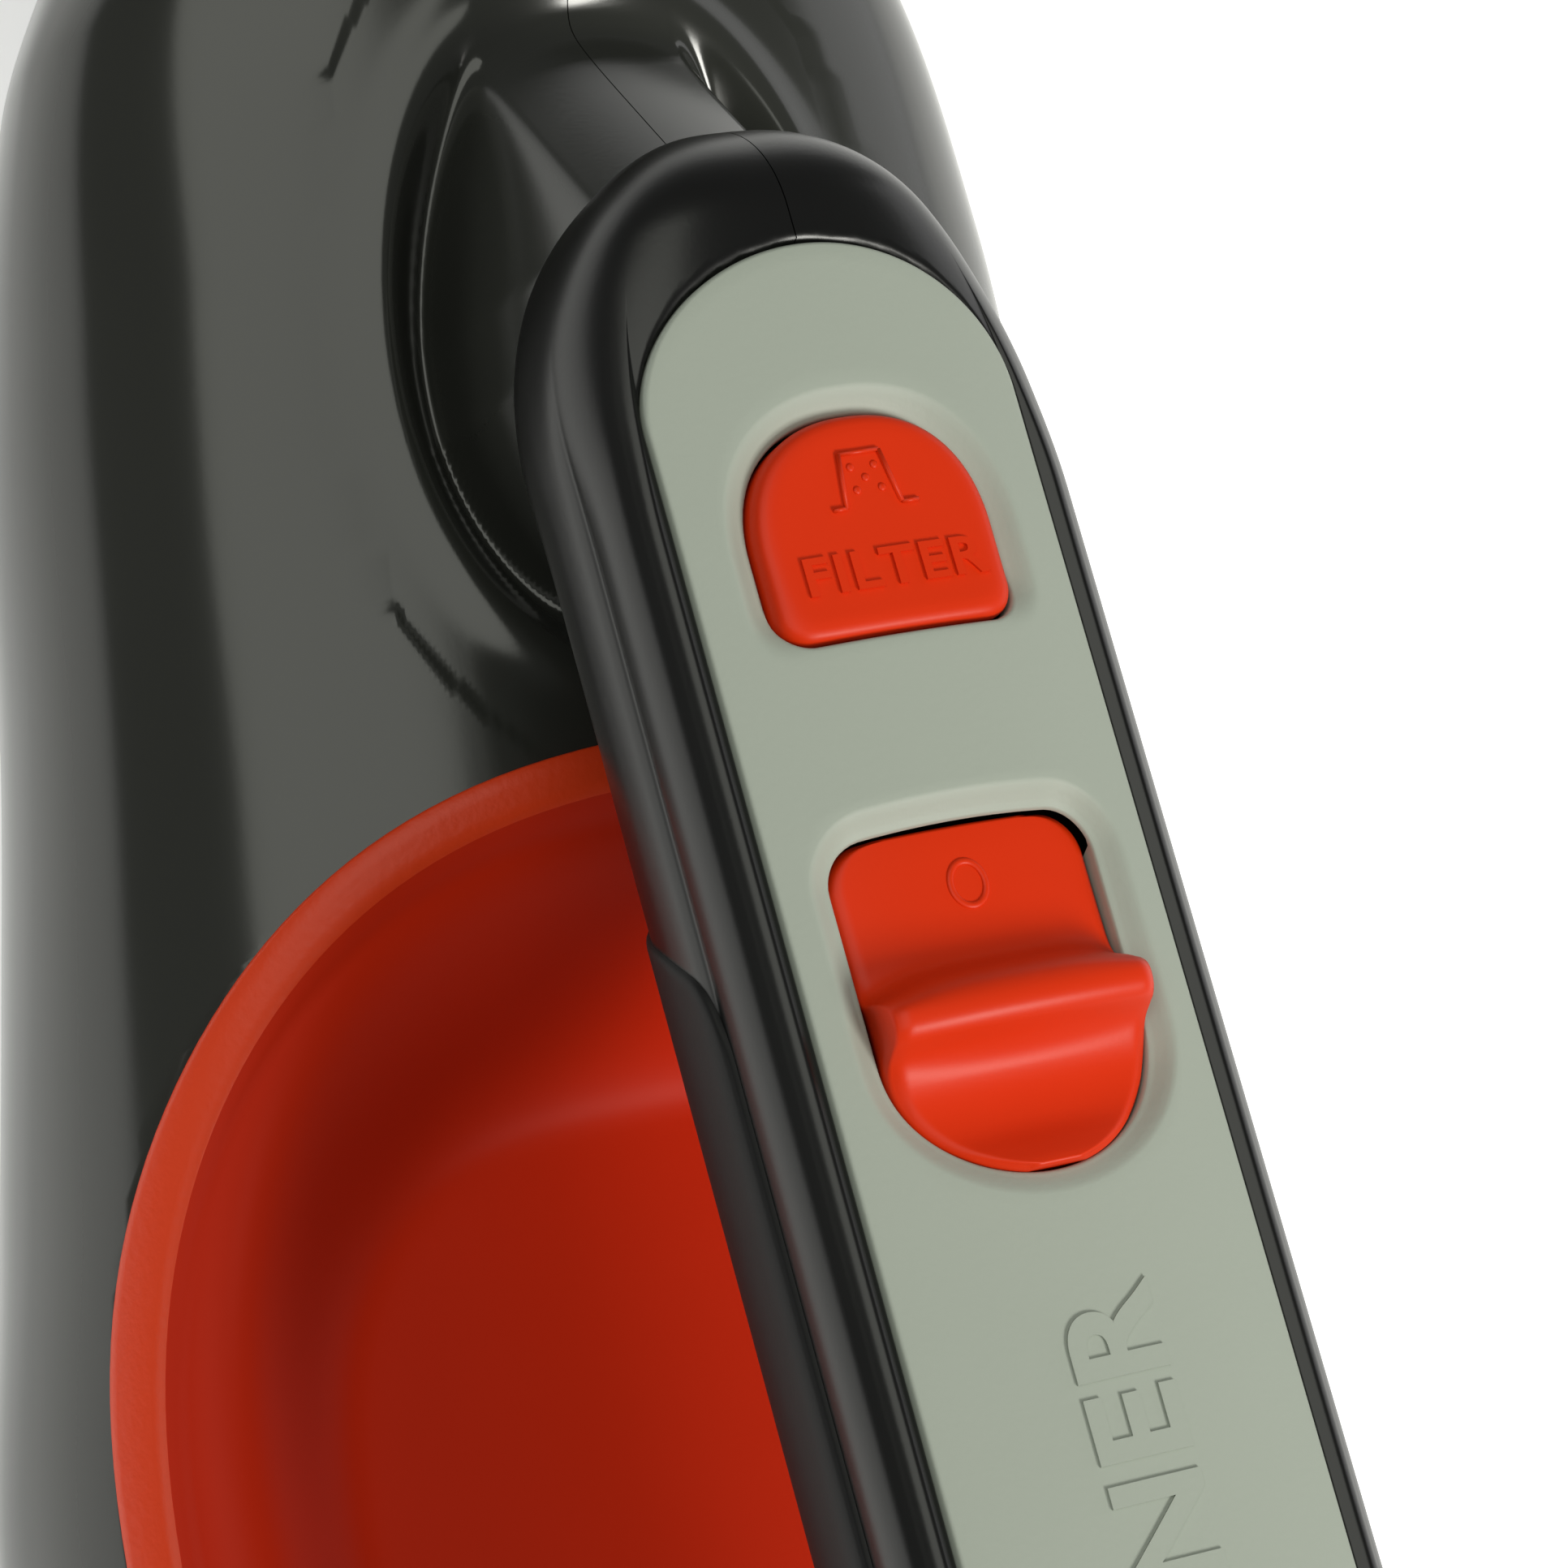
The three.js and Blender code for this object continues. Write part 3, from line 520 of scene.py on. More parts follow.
def handle_corner(i, j):
    """A corner of the left shell: i runs back from the nose, j from the top round to the bottom."""
    t = i / HANDLE_COLUMNS
    s = HANDLE_LENGTH * (0.35 * t + 0.65 * (1 - cos(t * pi / 2)))
    y, up = smooth_path(HANDLE_SECTION, j / HANDLE_ROWS)
    across, rise = abs(y) / HANDLE_HALF, abs(up) / HANDLE_TALL
    plain = (across**PLAIN_POWER + rise**PLAIN_POWER) ** (-1 / PLAIN_POWER)
    smooth = 1 + (plain - 1) * (1 - ease((s - RIDGE_START) / (RIDGE_FULL - RIDGE_START)))
    x, y, z = on_handle(s, y * smooth, up * smooth)
    if up > 0 and x > SEAT_REAR:
        z += (SEAT_Z - z) * ease((inside_insert(x, y) + 0.2) / 0.9)
    return x, max(y, SPLIT), z


def from_handle_line(c):
    """The way from the handle's middle line to a point on its skin."""
    if c.x > BEND_X * MM:
        return Vector((0, c.y, c.z - HANDLE_Z * MM))
    spoke = Vector((c.x - BEND_X * MM, 0, c.z - (HANDLE_Z - BEND_RADIUS) * MM))
    return spoke + Vector((0, c.y, 0)) - spoke.normalized() * BEND_RADIUS * MM


shell_pair("handle", HANDLE_COLUMNS, HANDLE_ROWS, handle_corner, black_abs,
           from_handle_line, HANDLE_WALL)

# ---------- underside grip ----------
# A soft-touch strip moulded over the handle's underside, with a narrow rolled edge along each side.
GRIP_FRONT = -9.0
GRIP_REAR = -111.0
GRIP_PROUD = 0.45
GRIP_COLUMNS = 120
GRIP_ROWS = 24
GRIP_WALL = 1.0
GRIP_SINK = -0.6

# The side edges: the part of the handle section's path that they start at, and how the strip rises
# over the handle from there, by the part of its width.
GRIP_SIDE = 0.615
GRIP_EDGE = [(0.0, GRIP_SINK), (0.01875, 0.1), (0.05625, GRIP_PROUD - 0.08), (0.125, GRIP_PROUD)]

# Thermoplastic rubber from a fine-grained mould: black, with almost no shine.
soft_rubber = moulded_plastic("soft_touch_rubber", "#0D0D0E", 0.5, 0.35, 0.01, 0.08, 0.25)


def grip_corner(i, j):
    """A corner of the left side of the strip: j runs from its side seam down to the middle."""
    t = i / GRIP_COLUMNS
    x = GRIP_FRONT + (GRIP_REAR - GRIP_FRONT) * (1 - cos(t * pi / 2) + t) * 0.5
    first = GRIP_SIDE + (1 - GRIP_SIDE) * (1 - ease((GRIP_FRONT - x) / 20.0)) * 0.92
    down = j / GRIP_ROWS
    y, up = smooth_path(HANDLE_SECTION, first + (1 - first) * down)
    depth = GRIP_PROUD
    for (a, low), (b, high) in zip(GRIP_EDGE, GRIP_EDGE[1:]):
        if a <= down < b:
            depth = low + (high - low) * (down - a) / (b - a)
    ends = ease((GRIP_FRONT - x) / 1.5) * ease((x - GRIP_REAR) / 1.2)
    depth = GRIP_SINK + (depth - GRIP_SINK) * ends
    scale = 1 + depth / max(hypot(y, up), 1.0)
    return x, max(y * scale, 0.0), HANDLE_Z + up * scale


bm = bmesh.new()
sheet(bm, GRIP_COLUMNS, GRIP_ROWS, grip_corner)
sheet(bm, GRIP_COLUMNS, GRIP_ROWS,
      lambda i, j: [a * b for a, b in zip(grip_corner(i, j), (1, -1, 1))])
bmesh.ops.remove_doubles(bm, verts=bm.verts, dist=0.01 * MM)
bmesh.ops.recalc_face_normals(bm, faces=bm.faces)
face_out(bm, lambda c: Vector((0, c.y, c.z - HANDLE_Z * MM)))
finish_piece("grip_strip", bm, soft_rubber, "housing", ("grip_underside",), GRIP_WALL)

# ---------- handle insert ----------
# A satin grey-green strip pressed into the top of the handle, crowned across, with a chamfered
# hollow round the button and another round the slider.
CROWN_Z = 128.0
CROWN_DROP = 2.0
EDGE_ROLL = 0.4
INSERT_CORNER = 5.0
INSERT_WALL = 0.7

# Grey-green ABS from a spark-eroded mould: satin, with a very fine even grain.
satin_grey = moulded_plastic("satin_grey_green_abs", "#A2A99F", 0.5, 0.6, 0.02, 0.03, 0.35)


def insert_crown(y):
    """Height of the insert's top, which falls a little to each side."""
    return CROWN_Z - CROWN_DROP * (y / INSERT_HALF) ** 2


BUTTON_MIDDLE = 6.0
BUTTON_HALF = 9.9
BUTTON_ROUND = 6.3
BUTTON_POWER = 2.3
BUTTON_REAR = -0.8
BUTTON_CORNER = 2.5


def button_distance(x, y):
    """Distance outside the button's outline: a round front, straight sides, small rear corners."""
    y = abs(y)
    if x > BUTTON_ROUND:
        around = (x - BUTTON_ROUND) ** BUTTON_POWER + y**BUTTON_POWER
        return around ** (1 / BUTTON_POWER) - BUTTON_HALF
    back = BUTTON_REAR + BUTTON_CORNER - x
    side = y - BUTTON_HALF + BUTTON_CORNER
    if back > 0 and side > 0:
        return hypot(back, side) - BUTTON_CORNER
    return max(y - BUTTON_HALF, BUTTON_REAR - x)


SLIDER_MIDDLE = -30.0
SLIDER_HALF = 10.85
SLIDER_FRONT = -15.7
SLIDER_FRONT_BOW = 0.5
SLIDER_CORNER = 3.1
SLIDER_ROUND = -32.5
SLIDER_SQUASH = 1.12


def slider_distance(x, y):
    """Distance outside the slider's outline: square front with round corners, round back."""
    y = abs(y)
    if x < SLIDER_ROUND:
        return hypot((x - SLIDER_ROUND) * SLIDER_SQUASH, y) - SLIDER_HALF
    x += SLIDER_FRONT_BOW * (y / SLIDER_HALF) ** 2
    ahead = x - SLIDER_FRONT + SLIDER_CORNER
    side = y - SLIDER_HALF + SLIDER_CORNER
    if ahead > 0 and side > 0:
        return hypot(ahead, side) - SLIDER_CORNER
    return max(y - SLIDER_HALF, x - SLIDER_FRONT)


def last_place(holds, high, steps):
    """The last place between 0 and high where holds(place) is true, found by halving."""
    low = 0.0
    for _ in range(steps):
        half = (low + high) / 2
        if holds(half):
            low = half
        else:
            high = half
    return low


def out_to(distance, middle, towards, level):
    """Where a ray from the middle crosses the outline grown by level."""
    reach = hypot(towards[0] - middle, towards[1])
    ux, uy = (towards[0] - middle) / reach, towards[1] / reach
    out = last_place(lambda r: distance(middle + ux * r, uy * r) < level, 60.0, 40)
    return middle + ux * out, uy * out


# The insert's flat top is made in three stretches that meet at two lines across it: one round the
# button, one round the slider and the plain rest.
HALF_IN = INSERT_HALF - EDGE_ROLL
BUTTON_LINE = -8.0
SLIDER_LINE = -50.0
ACROSS = 30
SIDE_STEPS = 30
ARC_STEPS = 80
CELL_STEPS = 50
REAR_STEPS = 70


def along_line(a, b, steps):
    """Evenly spaced points from a up to, but not including, b."""
    return [(a[0] + (b[0] - a[0]) * k / steps, a[1] + (b[1] - a[1]) * k / steps) for k in range(steps)]


def front_cell_loop():
    """Round the front of the insert from its right side, then straight across at BUTTON_LINE."""
    arc_x = INSERT_FRONT - FRONT_ARC
    loop = along_line((BUTTON_LINE, -HALF_IN), (arc_x, -HALF_IN), SIDE_STEPS)
    for k in range(ARC_STEPS):
        angle = -pi / 2 + pi * k / ARC_STEPS
        loop.append((arc_x + (FRONT_ARC - EDGE_ROLL) * cos(angle), HALF_IN * sin(angle)))
    loop += along_line((arc_x, HALF_IN), (BUTTON_LINE, HALF_IN), SIDE_STEPS)
    return loop + along_line((BUTTON_LINE, HALF_IN), (BUTTON_LINE, -HALF_IN), ACROSS)


def middle_cell_loop():
    """The rectangle between SLIDER_LINE and BUTTON_LINE."""
    loop = along_line((SLIDER_LINE, -HALF_IN), (BUTTON_LINE, -HALF_IN), CELL_STEPS)
    loop += along_line((BUTTON_LINE, -HALF_IN), (BUTTON_LINE, HALF_IN), ACROSS)
    loop += along_line((BUTTON_LINE, HALF_IN), (SLIDER_LINE, HALF_IN), CELL_STEPS)
    return loop + along_line((SLIDER_LINE, HALF_IN), (SLIDER_LINE, -HALF_IN), ACROSS)


# Each step inwards: distance from the hole's outline, and how far below the crown at full chamfer.
# The steps from WALL_STEP on are the upright wall of the hole.
HOLE_DEPTH = 3.2
CHAMFER_DEPTH = 1.3
CHAMFER = [(2.4, 0.0), (2.2, 0.05), (1.95, 0.2), (1.5, 0.56), (0.95, 1.02), (0.65, 1.22),
           (0.45, CHAMFER_DEPTH), (0.32, 1.42), (0.26, 1.7), (0.26, HOLE_DEPTH)]
WALL_STEP = 6
FLAT_STEPS = 8


def hollow_cell(bm, loop, distance, middle, chamfered, deepest):
    """Fills the ring between a cell's loop and a hole, with the chamfer round the hole."""
    count = len(loop)
    hits = [[out_to(distance, middle, point, level) for level, _ in CHAMFER] for point in loop]

    def corner(i, j):
        i %= count
        first = hits[i][0]
        if j <= FLAT_STEPS:
            t = j / FLAT_STEPS
            x = loop[i][0] + (first[0] - loop[i][0]) * t
            y = loop[i][1] + (first[1] - loop[i][1]) * t
            return x, y, insert_crown(y)
        step = j - FLAT_STEPS
        x, y = hits[i][step]
        drop = min(CHAMFER[step][1], deepest(x))
        amount = chamfered(x, y)
        flat_drop = 0.0 if step < WALL_STEP else drop - CHAMFER_DEPTH
        return x, y, insert_crown(y) - (flat_drop + (drop - flat_drop) * amount)

    sheet(bm, count, FLAT_STEPS + len(CHAMFER) - 1, corner)


def rear_strip_corner(i, j):
    """The plain strip from SLIDER_LINE back to the rounded rear corners."""
    t = i / REAR_STEPS
    x = SLIDER_LINE + (INSERT_REAR + EDGE_ROLL - SLIDER_LINE) * sin(t * pi / 2)
    short = max(0.0, INSERT_REAR + INSERT_CORNER - x)
    half = HALF_IN - INSERT_CORNER + sqrt(max(0.0, INSERT_CORNER**2 - short**2))
    y = half * (1 - 2 * j / ACROSS)
    return x, y, insert_crown(y)


bm = bmesh.new()
# The chamfer fades out behind the button and gets shallow behind the slider. The hole's wall is low
# at the slider's front, where the slider dives under the insert.
hollow_cell(bm, front_cell_loop(), button_distance, BUTTON_MIDDLE,
            lambda x, y: ease((x + 2.0) / 5.0), lambda x: HOLE_DEPTH)
hollow_cell(bm, middle_cell_loop(), slider_distance, SLIDER_MIDDLE,
            lambda x, y: 0.25 + 0.75 * ease((x + 47.0) / 12.0),
            lambda x: HOLE_DEPTH - 1.5 * ease((x + 19.5) / 0.8))
sheet(bm, REAR_STEPS, ACROSS, rear_strip_corner)
bmesh.ops.remove_doubles(bm, verts=bm.verts, dist=0.02 * MM)
bmesh.ops.recalc_face_normals(bm, faces=bm.faces)
face_out(bm, lambda c: Vector((0, 0, 1)))


def outside_of_insert(x, y):
    """The direction straight out of the insert's outline near x, y."""
    ahead = x - INSERT_FRONT + FRONT_ARC
    if ahead > 0:
        return Vector((ahead / FRONT_ARC**2, y / INSERT_HALF**2, 0)).normalized()
    if x < INSERT_REAR + INSERT_CORNER and abs(y) > INSERT_HALF - INSERT_CORNER - 0.5:
        side = INSERT_HALF - INSERT_CORNER if y > 0 else INSERT_CORNER - INSERT_HALF
        return Vector((x - INSERT_REAR - INSERT_CORNER, y - side, 0)).normalized()
    return Vector((-1, 0, 0)) if x < INSERT_REAR + 1 else Vector((0, 1 if y > 0 else -1, 0))


rim_edges = [e for e in bm.edges if e.is_boundary and all(
    button_distance(v.co.x / MM, v.co.y / MM) > 2 and slider_distance(v.co.x / MM, v.co.y / MM) > 2
    for v in e.verts)]
# The outer edge rolls over in four steps: how far out and how far down each goes.
for outwards, down in ((0.2, 0.06), (0.15, 0.2), (0.05, 0.5), (0.0, 1.6)):
    grown = bmesh.ops.extrude_edge_only(bm, edges=rim_edges)["geom"]
    for corner in (g for g in grown if isinstance(g, bmesh.types.BMVert)):
        away = outside_of_insert(corner.co.x / MM, corner.co.y / MM)
        corner.co += (away * outwards + Vector((0, 0, -down))) * MM
    rim_edges = [g for g in grown if isinstance(g, bmesh.types.BMEdge)]
finish_piece("handle_insert_strip", bm, satin_grey, "housing", ("handle_insert",),
             INSERT_WALL)

# ---------- filter button ----------
# A push button in orange ABS with a filter pictogram and its word raised on it; pressing it lets
# the dust bowl go.
BUTTON_TOP = 0.1
BUTTON_SPOKES = 160
BUTTON_RINGS = 14
BUTTON_WALL = 0.9
FINGER_X = 6.5
FINGER_HALF = 9.5
FINGER_DEPTH = 0.35

# The rounded edge and the skirt: distance from the outline, and how far below the top.
BUTTON_EDGE = [(-1.6, 0.0), (-1.0, 0.05), (-0.55, 0.18), (-0.22, 0.45), (0.0, 0.95), (0.0, 2.9)]


def button_height(x, y):
    """The button's top: crowned with the insert and a little hollow for the fingertip."""
    hollow = FINGER_DEPTH * max(0.0, 1 - hypot((x - FINGER_X) / FINGER_HALF, y / FINGER_HALF) ** 2)
    return insert_crown(y) + BUTTON_TOP - hollow


def button_corner(i, j):
    """A corner of the button: i runs round it, j from its middle over the edge and down the skirt."""
    angle = 2 * pi * i / BUTTON_SPOKES
    towards = (BUTTON_MIDDLE + cos(angle), sin(angle))
    level, drop = BUTTON_EDGE[max(0, j - BUTTON_RINGS)]
    x, y = out_to(button_distance, BUTTON_MIDDLE, towards, level)
    t = min(1.0, j / BUTTON_RINGS)
    x, y = BUTTON_MIDDLE + (x - BUTTON_MIDDLE) * t, y * t
    return x, y, button_height(x, y) - drop


bm = bmesh.new()
sheet(bm, BUTTON_SPOKES, BUTTON_RINGS + len(BUTTON_EDGE) - 1, button_corner)
face_out(bm, lambda c: Vector((0, 0, 1)))
finish_piece("filter_push_button", bm, orange_abs, "button", ("filter_button",),
             BUTTON_WALL)


# Raised marks stand this far out of a surface, and their feet this far under it.
MARK_PROUD = 0.26
MARK_FOOT = 0.3


def raised_bar(bm, a, b, width, height_at, proud):
    """A thin raised bar with a bevelled top from a to b on a surface."""
    length = hypot(b[0] - a[0], b[1] - a[1])
    made = bmesh.ops.create_cube(bm, size=1.0)["verts"]
    along = Vector((b[0] - a[0], b[1] - a[1], 0)) / length
    side = Vector((-along.y, along.x, 0))
    for corner in made:
        taper = 0.72 if corner.co.z > 0 else 1.0
        at = Vector(a).to_3d() + along * length * (corner.co.x + 0.5)
        at += side * width * corner.co.y * taper
        z = height_at(at.x, at.y) + (proud if corner.co.z > 0 else -MARK_FOOT)
        corner.co = Vector((at.x, at.y, z)) * MM


# The pictogram is a filter in outline, as one bent line of five strokes, with five dust specks in it.
OUTLINE = [(8.9, 3.4), (8.9, 2.3), (13.1, 1.9), (13.1, -1.5), (8.9, -2.4), (8.9, -3.8)]
SPECKS = [(12.0, 1.1), (12.0, -0.9), (11.1, 0.05), (10.2, 1.0), (10.2, -1.1)]
STROKE = 0.38
SPECK = 0.34
bm = bmesh.new()
for start, end in zip(OUTLINE, OUTLINE[1:]):
    raised_bar(bm, start, end, STROKE, button_height, MARK_PROUD)
for along, across in SPECKS:
    dot = bmesh.ops.create_uvsphere(bm, u_segments=14, v_segments=8, radius=SPECK)["verts"]
    for corner in dot:
        flat = Vector((along + corner.co.x, across + corner.co.y, 0))
        corner.co = (flat + Vector((0, 0, button_height(flat.x, flat.y) + 0.5 * corner.co.z))) * MM
finish_piece("button_pictogram", bm, orange_abs, "button")


def raised_word(name, word, size, place, height_at, proud, bold, material, body, stretch):
    """Raised lettering: place turns a point of the flat word into x and y on the surface."""
    text = bpy.data.curves.new(name, "FONT")
    text.body = word
    text.size = size
    text.align_x = "CENTER"
    text.align_y = "CENTER"
    text.extrude = 0.5
    text.offset = bold
    text.space_character = 1.08
    holder = bpy.data.objects.new(name, text)
    bpy.context.scene.collection.objects.link(holder)
    data = bpy.data.meshes.new_from_object(holder.evaluated_get(bpy.context.evaluated_depsgraph_get()))
    bpy.data.objects.remove(holder)
    bm = bmesh.new()
    bm.from_mesh(data)
    bmesh.ops.remove_doubles(bm, verts=bm.verts, dist=0.005)
    # Cuts at every millimetre let the letters bend with the surface.
    for axis in (Vector((1, 0, 0)), Vector((0, 1, 0))):
        for k in range(-40, 41):
            everything = bm.verts[:] + bm.edges[:] + bm.faces[:]
            bmesh.ops.bisect_plane(bm, geom=everything, plane_co=axis * k, plane_no=axis)
    for corner in bm.verts:
        x, y = place(corner.co.x * stretch, corner.co.y)
        lift = proud if corner.co.z > 0 else -MARK_FOOT
        corner.co = Vector((x, y, height_at(x, y) + lift)) * MM
    face_out(bm, lambda c: Vector((0, 0, 1)))
    made = finish_piece(name, bm, material, body)
    made.data.polygons.foreach_set("use_smooth", [False] * len(made.data.polygons))


# The button's word reads across the handle, and the insert's word reads forwards along it.
raised_word("button_word", "FILTER", 4.1, lambda a, b: (3.9 + b, -0.3 - a), button_height,
            MARK_PROUD, 0.08, orange_abs, "button", 1.2)
raised_word("insert_word", "CLEANER", 10.6, lambda a, b: (-77.0 + a, -0.6 + b),
            lambda x, y: insert_crown(y), 0.24, 0.26, satin_grey, "housing", 1.05)

# ---------- power slider ----------
# An orange thumb slider: a flat front plate that dives under the insert, a high ridge, and a
# hollow for the thumb behind it.
SLIDER_COLUMNS = 170
SLIDER_ROWS = 48
SLIDER_LENGTH = 26.0
SLIDER_GAP = 0.25
SLIDER_BASE = 123.2

# The side profile, from front to back: x, and the height over the insert's crown.
SLIDER_PROFILE = [
    (-15.5, -2.15), (-17.5, -2.1), (-20.0, -2.1), (-23.0, -2.05), (-24.7, -1.95), (-25.7, -1.6),
    (-26.4, -0.7), (-27.0, 0.5), (-27.7, 1.6), (-28.5, 2.35), (-29.5, 2.7), (-30.6, 2.6),
    (-31.4, 2.05), (-31.9, 1.2), (-32.5, 0.35), (-33.6, -0.5), (-35.2, -1.05), (-37.0, -1.15),
    (-38.8, -0.85), (-40.4, -0.3), (-41.5, 0.1), (-42.2, 0.3),
]


def slider_height(x):
    """Height of the slider over the insert's crown at x, from its side profile."""
    t = last_place(lambda t: smooth_path(SLIDER_PROFILE, t)[0] > x, 1.0, 24)
    return smooth_path(SLIDER_PROFILE, t)[1]


def slider_corner(i, j):
    """A corner of the slider's top: i runs from front to back, j from its right side to its left."""
    t = i / SLIDER_COLUMNS
    x = SLIDER_FRONT - 0.2 - SLIDER_LENGTH * (0.4 * t + 0.6 * (1 - cos(t * pi)) / 2)
    half = last_place(lambda y: slider_distance(x, y) < 0, 12.0, 30) - SLIDER_GAP
    y = half * sin((2 * j / SLIDER_ROWS - 1) * pi / 2)
    edge = max(0.0, 1 - (half - abs(y)) / 0.9)
    bow = 1.1 * (y / 9.8) ** 4 * ease((x + 30.0) / 3.0)
    rise = slider_height(x + bow)
    hollow = 0.6 * max(0.0, 1 - (y / 9.5) ** 2) * ease((-31.5 - x) / 3) * ease((x + 42) / 4)
    level = 0.25 * CROWN_DROP * (y / INSERT_HALF) ** 2 * ease(rise)
    return x, y, insert_crown(y) + rise + level - hollow - 0.35 * edge**2


bm = bmesh.new()
sheet(bm, SLIDER_COLUMNS, SLIDER_ROWS, slider_corner)
face_out(bm, lambda c: Vector((0, 0, 1)))
bmesh.ops.remove_doubles(bm, verts=bm.verts, dist=MERGE)
# The skirt rolls over in two steps and drops in a third, then closes on a flat base.
skirt = [e for e in bm.edges if e.is_boundary]
for grow, down in ((0.2, 0.15), (0.1, 0.4), (0.0, 2.0)):
    grown = bmesh.ops.extrude_edge_only(bm, edges=skirt)["geom"]
    for corner in (g for g in grown if isinstance(g, bmesh.types.BMVert)):
        away = Vector(((corner.co.x / MM + 29.5) / 12.5**2, corner.co.y / MM / 10.15**2, 0)).normalized()
        corner.co += (away * grow + Vector((0, 0, -down))) * MM
    skirt = [g for g in grown if isinstance(g, bmesh.types.BMEdge)]
for corner in {v for e in skirt for v in e.verts}:
    corner.co.z = SLIDER_BASE * MM
bmesh.ops.holes_fill(bm, edges=skirt)
finish_piece("thumb_slider", bm, orange_abs, "slider", ("power_slider",))

# The raised O for "off" on the slider's front plate is an oval ring, half sunk in it.
MARK_X = -20.2
MARK_LONG = 1.7
MARK_HALF = 1.45
MARK_THICK = 0.3
MARK_STEPS = 48
MARK_TUBE = 8


def mark_corner(i, j):
    """A corner of the ring: i runs along it and j round its thickness."""
    angle = 2 * pi * i / MARK_STEPS
    round_it = 2 * pi * j / MARK_TUBE
    along = MARK_LONG + MARK_THICK * cos(round_it)
    across = MARK_HALF + MARK_THICK * cos(round_it)
    x, y = MARK_X + along * cos(angle), across * sin(angle)
    return x, y, insert_crown(y) + slider_height(x) - 0.02 + 0.2 * sin(round_it)


bm = bmesh.new()
sheet(bm, MARK_STEPS, MARK_TUBE, mark_corner)
bmesh.ops.remove_doubles(bm, verts=bm.verts, dist=MERGE)
bmesh.ops.recalc_face_normals(bm, faces=bm.faces)
finish_piece("slider_mark", bm, orange_abs, "slider")

# ---------- dust bowl ----------
# A smoked clear bowl blown out to a wide mouth, with a thickened lip at the mouth and a band at
# the back where it seats on the collar.
BOWL_SECTIONS = [
    (90, 80, 28.5, 20, 26), (120, 70, 33, 21, 30), (150, 56, 38, 20, 26), (180, 40, 42, 17, 20),
    (205, 26, 44, 13, 15),
]
BOWL_POWER = 2.6
BOWL_BACK = 90.4
BOWL_MOUTH = 205.0
BOWL_AROUND = 120
BOWL_ALONG = 90
BOWL_WALL = 2.0
BAND_PROUD = 0.45
REAR_BAND_END = 96.0
LIP_START = 199.0


def bowl_point(x, angle, inset):
    """A point of the bowl's section at x, inset from its outside."""
    centre, half, rise, depth = section_at(BOWL_SECTIONS, x)
    up = (rise if sin(angle) > 0 else depth) - inset
    y = (half - inset) * abs(cos(angle)) ** (2 / BOWL_POWER) * (1 if cos(angle) >= 0 else -1)
    return x, y, centre + up * abs(sin(angle)) ** (2 / BOWL_POWER) * (1 if sin(angle) >= 0 else -1)


def bowl_corner(i, j):
    """A corner of the bowl: i runs round it, j from the back to the mouth."""
    x = BOWL_BACK + (BOWL_MOUTH - BOWL_BACK) * j / BOWL_ALONG
    thinner = ease((x - REAR_BAND_END) / 0.8) - ease((x - LIP_START) / 0.8)
    return bowl_point(x, 2 * pi * i / BOWL_AROUND, BAND_PROUD * thinner)


# Clear moulded polycarbonate, tinted brown-grey: see-through, with a patchy haze of fine dust.
smoked, tree = new_material("smoked_polycarbonate")
place = node(tree, "ShaderNodeTexCoord").outputs["Object"]
dust = node(tree, "ShaderNodeTexNoise", {"Scale": 1 / (9 * MM), "Detail": 4.0}, {"Vector": place})
haze = node(tree, "ShaderNodeMapRange",
            {"From Min": 0.45, "From Max": 0.8, "To Min": 0.03, "To Max": 0.12},
            {"Value": dust.outputs["Fac"]})
shader = node(tree, "ShaderNodeBsdfPrincipled",
              {"Base Color": linear("#A39C97"), "IOR": 1.58, "Transmission Weight": 1.0},
              {"Roughness": haze.outputs[0]})
node(tree, "ShaderNodeOutputMaterial", links={"Surface": shader.outputs["BSDF"]})

bm = bmesh.new()
sheet(bm, BOWL_AROUND, BOWL_ALONG, bowl_corner)
bmesh.ops.remove_doubles(bm, verts=bm.verts, dist=MERGE)
face_out(bm, lambda c: Vector((0, c.y, c.z - 0.055)))
finish_piece("dust_bowl_shell", bm, smoked, "bowl", ("dust_bowl",), BOWL_WALL)

# ---------- exhaust grilles ----------
# A row of upright slats on each side of the housing's rear, moulded in matt black ABS. Each slat is
# bowed across, follows the side of the housing and is clipped in from inside.

# Black ABS with a spark-eroded texture: dull and even.
matt_black = moulded_plastic("matt_black_abs", "#1B1C1D", 0.55, 0.5, 0.02, 0.08)
GRILLE_X = (-148.0, -107.0)
GRILLE_Z = (29.0, 47.0)
GRILLE_SLATS = 7
GRILLE_WALL = 0.6
SLAT_WIDTH = 3.6
SLAT_ROWS = 16
SLAT_BOW = [-0.6, 0.5, 0.75, 0.5, -0.6]
SLAT_SINK = -0.6


def side_point(x, z, side, proud):
    """A point on the housing's side at x and z, lifted outwards."""
    centre, half, _, depth = housing_section(x)
    lift = min(1.0, abs(centre - z) / depth)
    return x, side * (half * (1 - lift**HOUSING_POWER) ** (1 / HOUSING_POWER) + proud), z - 0.3 * proud


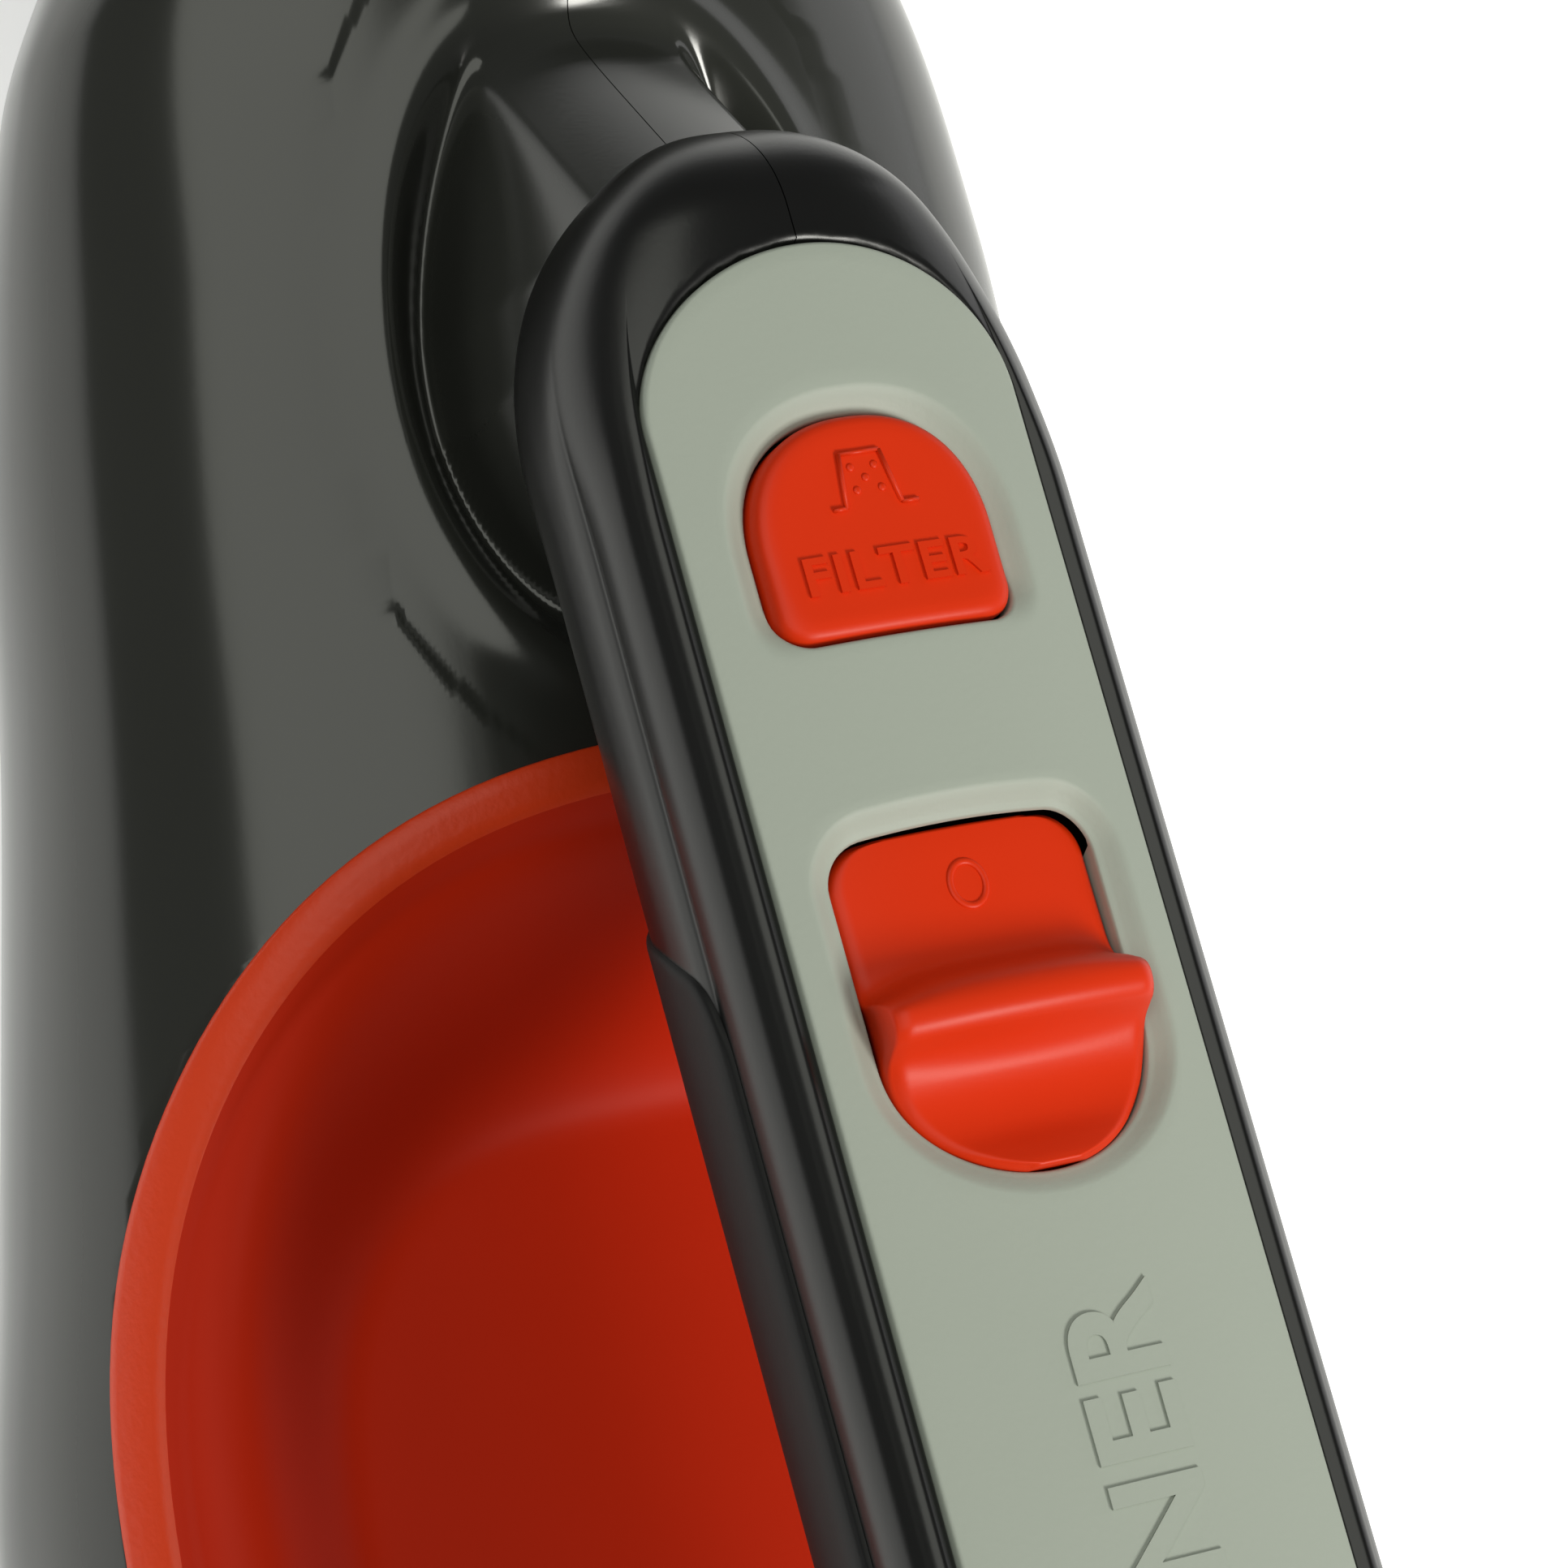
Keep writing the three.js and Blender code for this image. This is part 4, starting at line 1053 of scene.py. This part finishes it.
for side, name in ((1, "left"), (-1, "right")):
    bm = bmesh.new()
    across = len(SLAT_BOW) - 1
    for k in range(GRILLE_SLATS):
        start = GRILLE_X[0] + (GRILLE_X[1] - GRILLE_X[0]) * k / GRILLE_SLATS
        sheet(bm, across, SLAT_ROWS, lambda i, j: side_point(
            start + SLAT_WIDTH * i / across,
            GRILLE_Z[0] + (GRILLE_Z[1] - GRILLE_Z[0]) * j / SLAT_ROWS, side,
            SLAT_BOW[i] if 0 < j < SLAT_ROWS else SLAT_SINK))
    face_out(bm, lambda c: Vector((0, side, 0)))
    finish_piece(f"grille_slats_{name}", bm, matt_black, "housing",
                 (f"exhaust_grille_{name}",), GRILLE_WALL)

# ---------- the rest ----------
# The pieces inside, and small ones outside such as the feet and screws, keep their CAD shape and
# get their real finish here.

# Moulded nitrile rubber: dark, matt and very even.
seal_rubber = moulded_plastic("moulded_seal_rubber", "#202021", 0.75, 0.3, 0.015, 0.1)
# Moulded acetal: a clean warm white with a waxy shine.
white_acetal = moulded_plastic("white_acetal", "#E6E6E1", 0.4, 0.5, 0.006, 0.03)
# Heat-shrunk PVC film: saturated blue, smooth and glossy.
blue_wrap = moulded_plastic("blue_cell_wrap", "#2C5D94", 0.3, 0.4, 0.004, 0.05)
# Solder mask over glass-fibre board: glossy green, with the weave just showing through.
board_green = moulded_plastic("solder_mask_green", "#1F5B34", 0.35, 1.2, 0.02, 0.15)

# Drawing and turning lines are this far apart, and run this many times longer along X.
LINE_PITCH = 2.0
LINE_STRETCH = 6.0


def metal(name, colour, roughness):
    """Turned or drawn metal: fine lines along X break up its reflections."""
    made, tree = new_material(name)
    place = node(tree, "ShaderNodeTexCoord").outputs["Object"]
    squeeze = node(tree, "ShaderNodeMapping", {"Scale": (1.0, LINE_STRETCH, LINE_STRETCH)},
                   {"Vector": place})
    lines = node(tree, "ShaderNodeTexNoise", {"Scale": 1 / (LINE_PITCH * MM), "Detail": 3.0},
                 {"Vector": squeeze.outputs[0]})
    rub = node(tree, "ShaderNodeMapRange", {"To Min": roughness * 0.7, "To Max": roughness * 1.4},
               {"Value": lines.outputs["Fac"]})
    shader = node(tree, "ShaderNodeBsdfPrincipled", {"Base Color": linear(colour), "Metallic": 1.0},
                  {"Roughness": rub.outputs[0]})
    node(tree, "ShaderNodeOutputMaterial", links={"Surface": shader.outputs["BSDF"]})
    return made


# Bright zinc over turned or drawn steel: pale and softly streaked.
drawn_steel = metal("zinc_plated_steel", "#B9BBBD", 0.3)
# Enamelled copper: warm brown-red with a soft shine.
copper = metal("enamelled_copper", "#B8733C", 0.35)
# Black-oxide screws: almost black, with a dull metal glint.
blackened = metal("black_oxide_steel", "#2E2F31", 0.38)

# Pressed polyester fleece: off-white and fully matt, with a fibrous skin drawn coarse enough to show.
pleated, tree = new_material("pleated_filter_fleece")
place = node(tree, "ShaderNodeTexCoord").outputs["Object"]
fibres = node(tree, "ShaderNodeTexNoise", {"Scale": 1 / (0.8 * MM), "Detail": 4.0}, {"Vector": place})
fuzz = node(tree, "ShaderNodeBump", {"Distance": 0.05 * MM}, {"Height": fibres.outputs["Fac"]})
shader = node(tree, "ShaderNodeBsdfPrincipled", {"Base Color": linear("#E7E3D8"), "Roughness": 0.9},
              {"Normal": fuzz.outputs[0]})
node(tree, "ShaderNodeOutputMaterial", links={"Surface": shader.outputs["BSDF"]})

FINISHES = {
    "titanium_plastic": titanium_abs, "black_gloss": black_abs, "satin_grey": satin_grey,
    "orange_plastic": orange_abs, "smoked_clear": smoked, "black_matte": matt_black,
    "soft_grip": soft_rubber, "seal_rubber": seal_rubber, "filter_paper": pleated,
    "steel": drawn_steel, "copper": copper, "battery_wrap": blue_wrap, "board_green": board_green,
    "white_plastic": white_acetal,
}
for subpart in frame["record"]["subparts"]:
    cad = frame["nodes"][subpart["node"]]
    cad.data.materials.clear()
    is_screw = "screw" in subpart["node"]
    cad.data.materials.append(blackened if is_screw else FINISHES[subpart["material_slot"]])
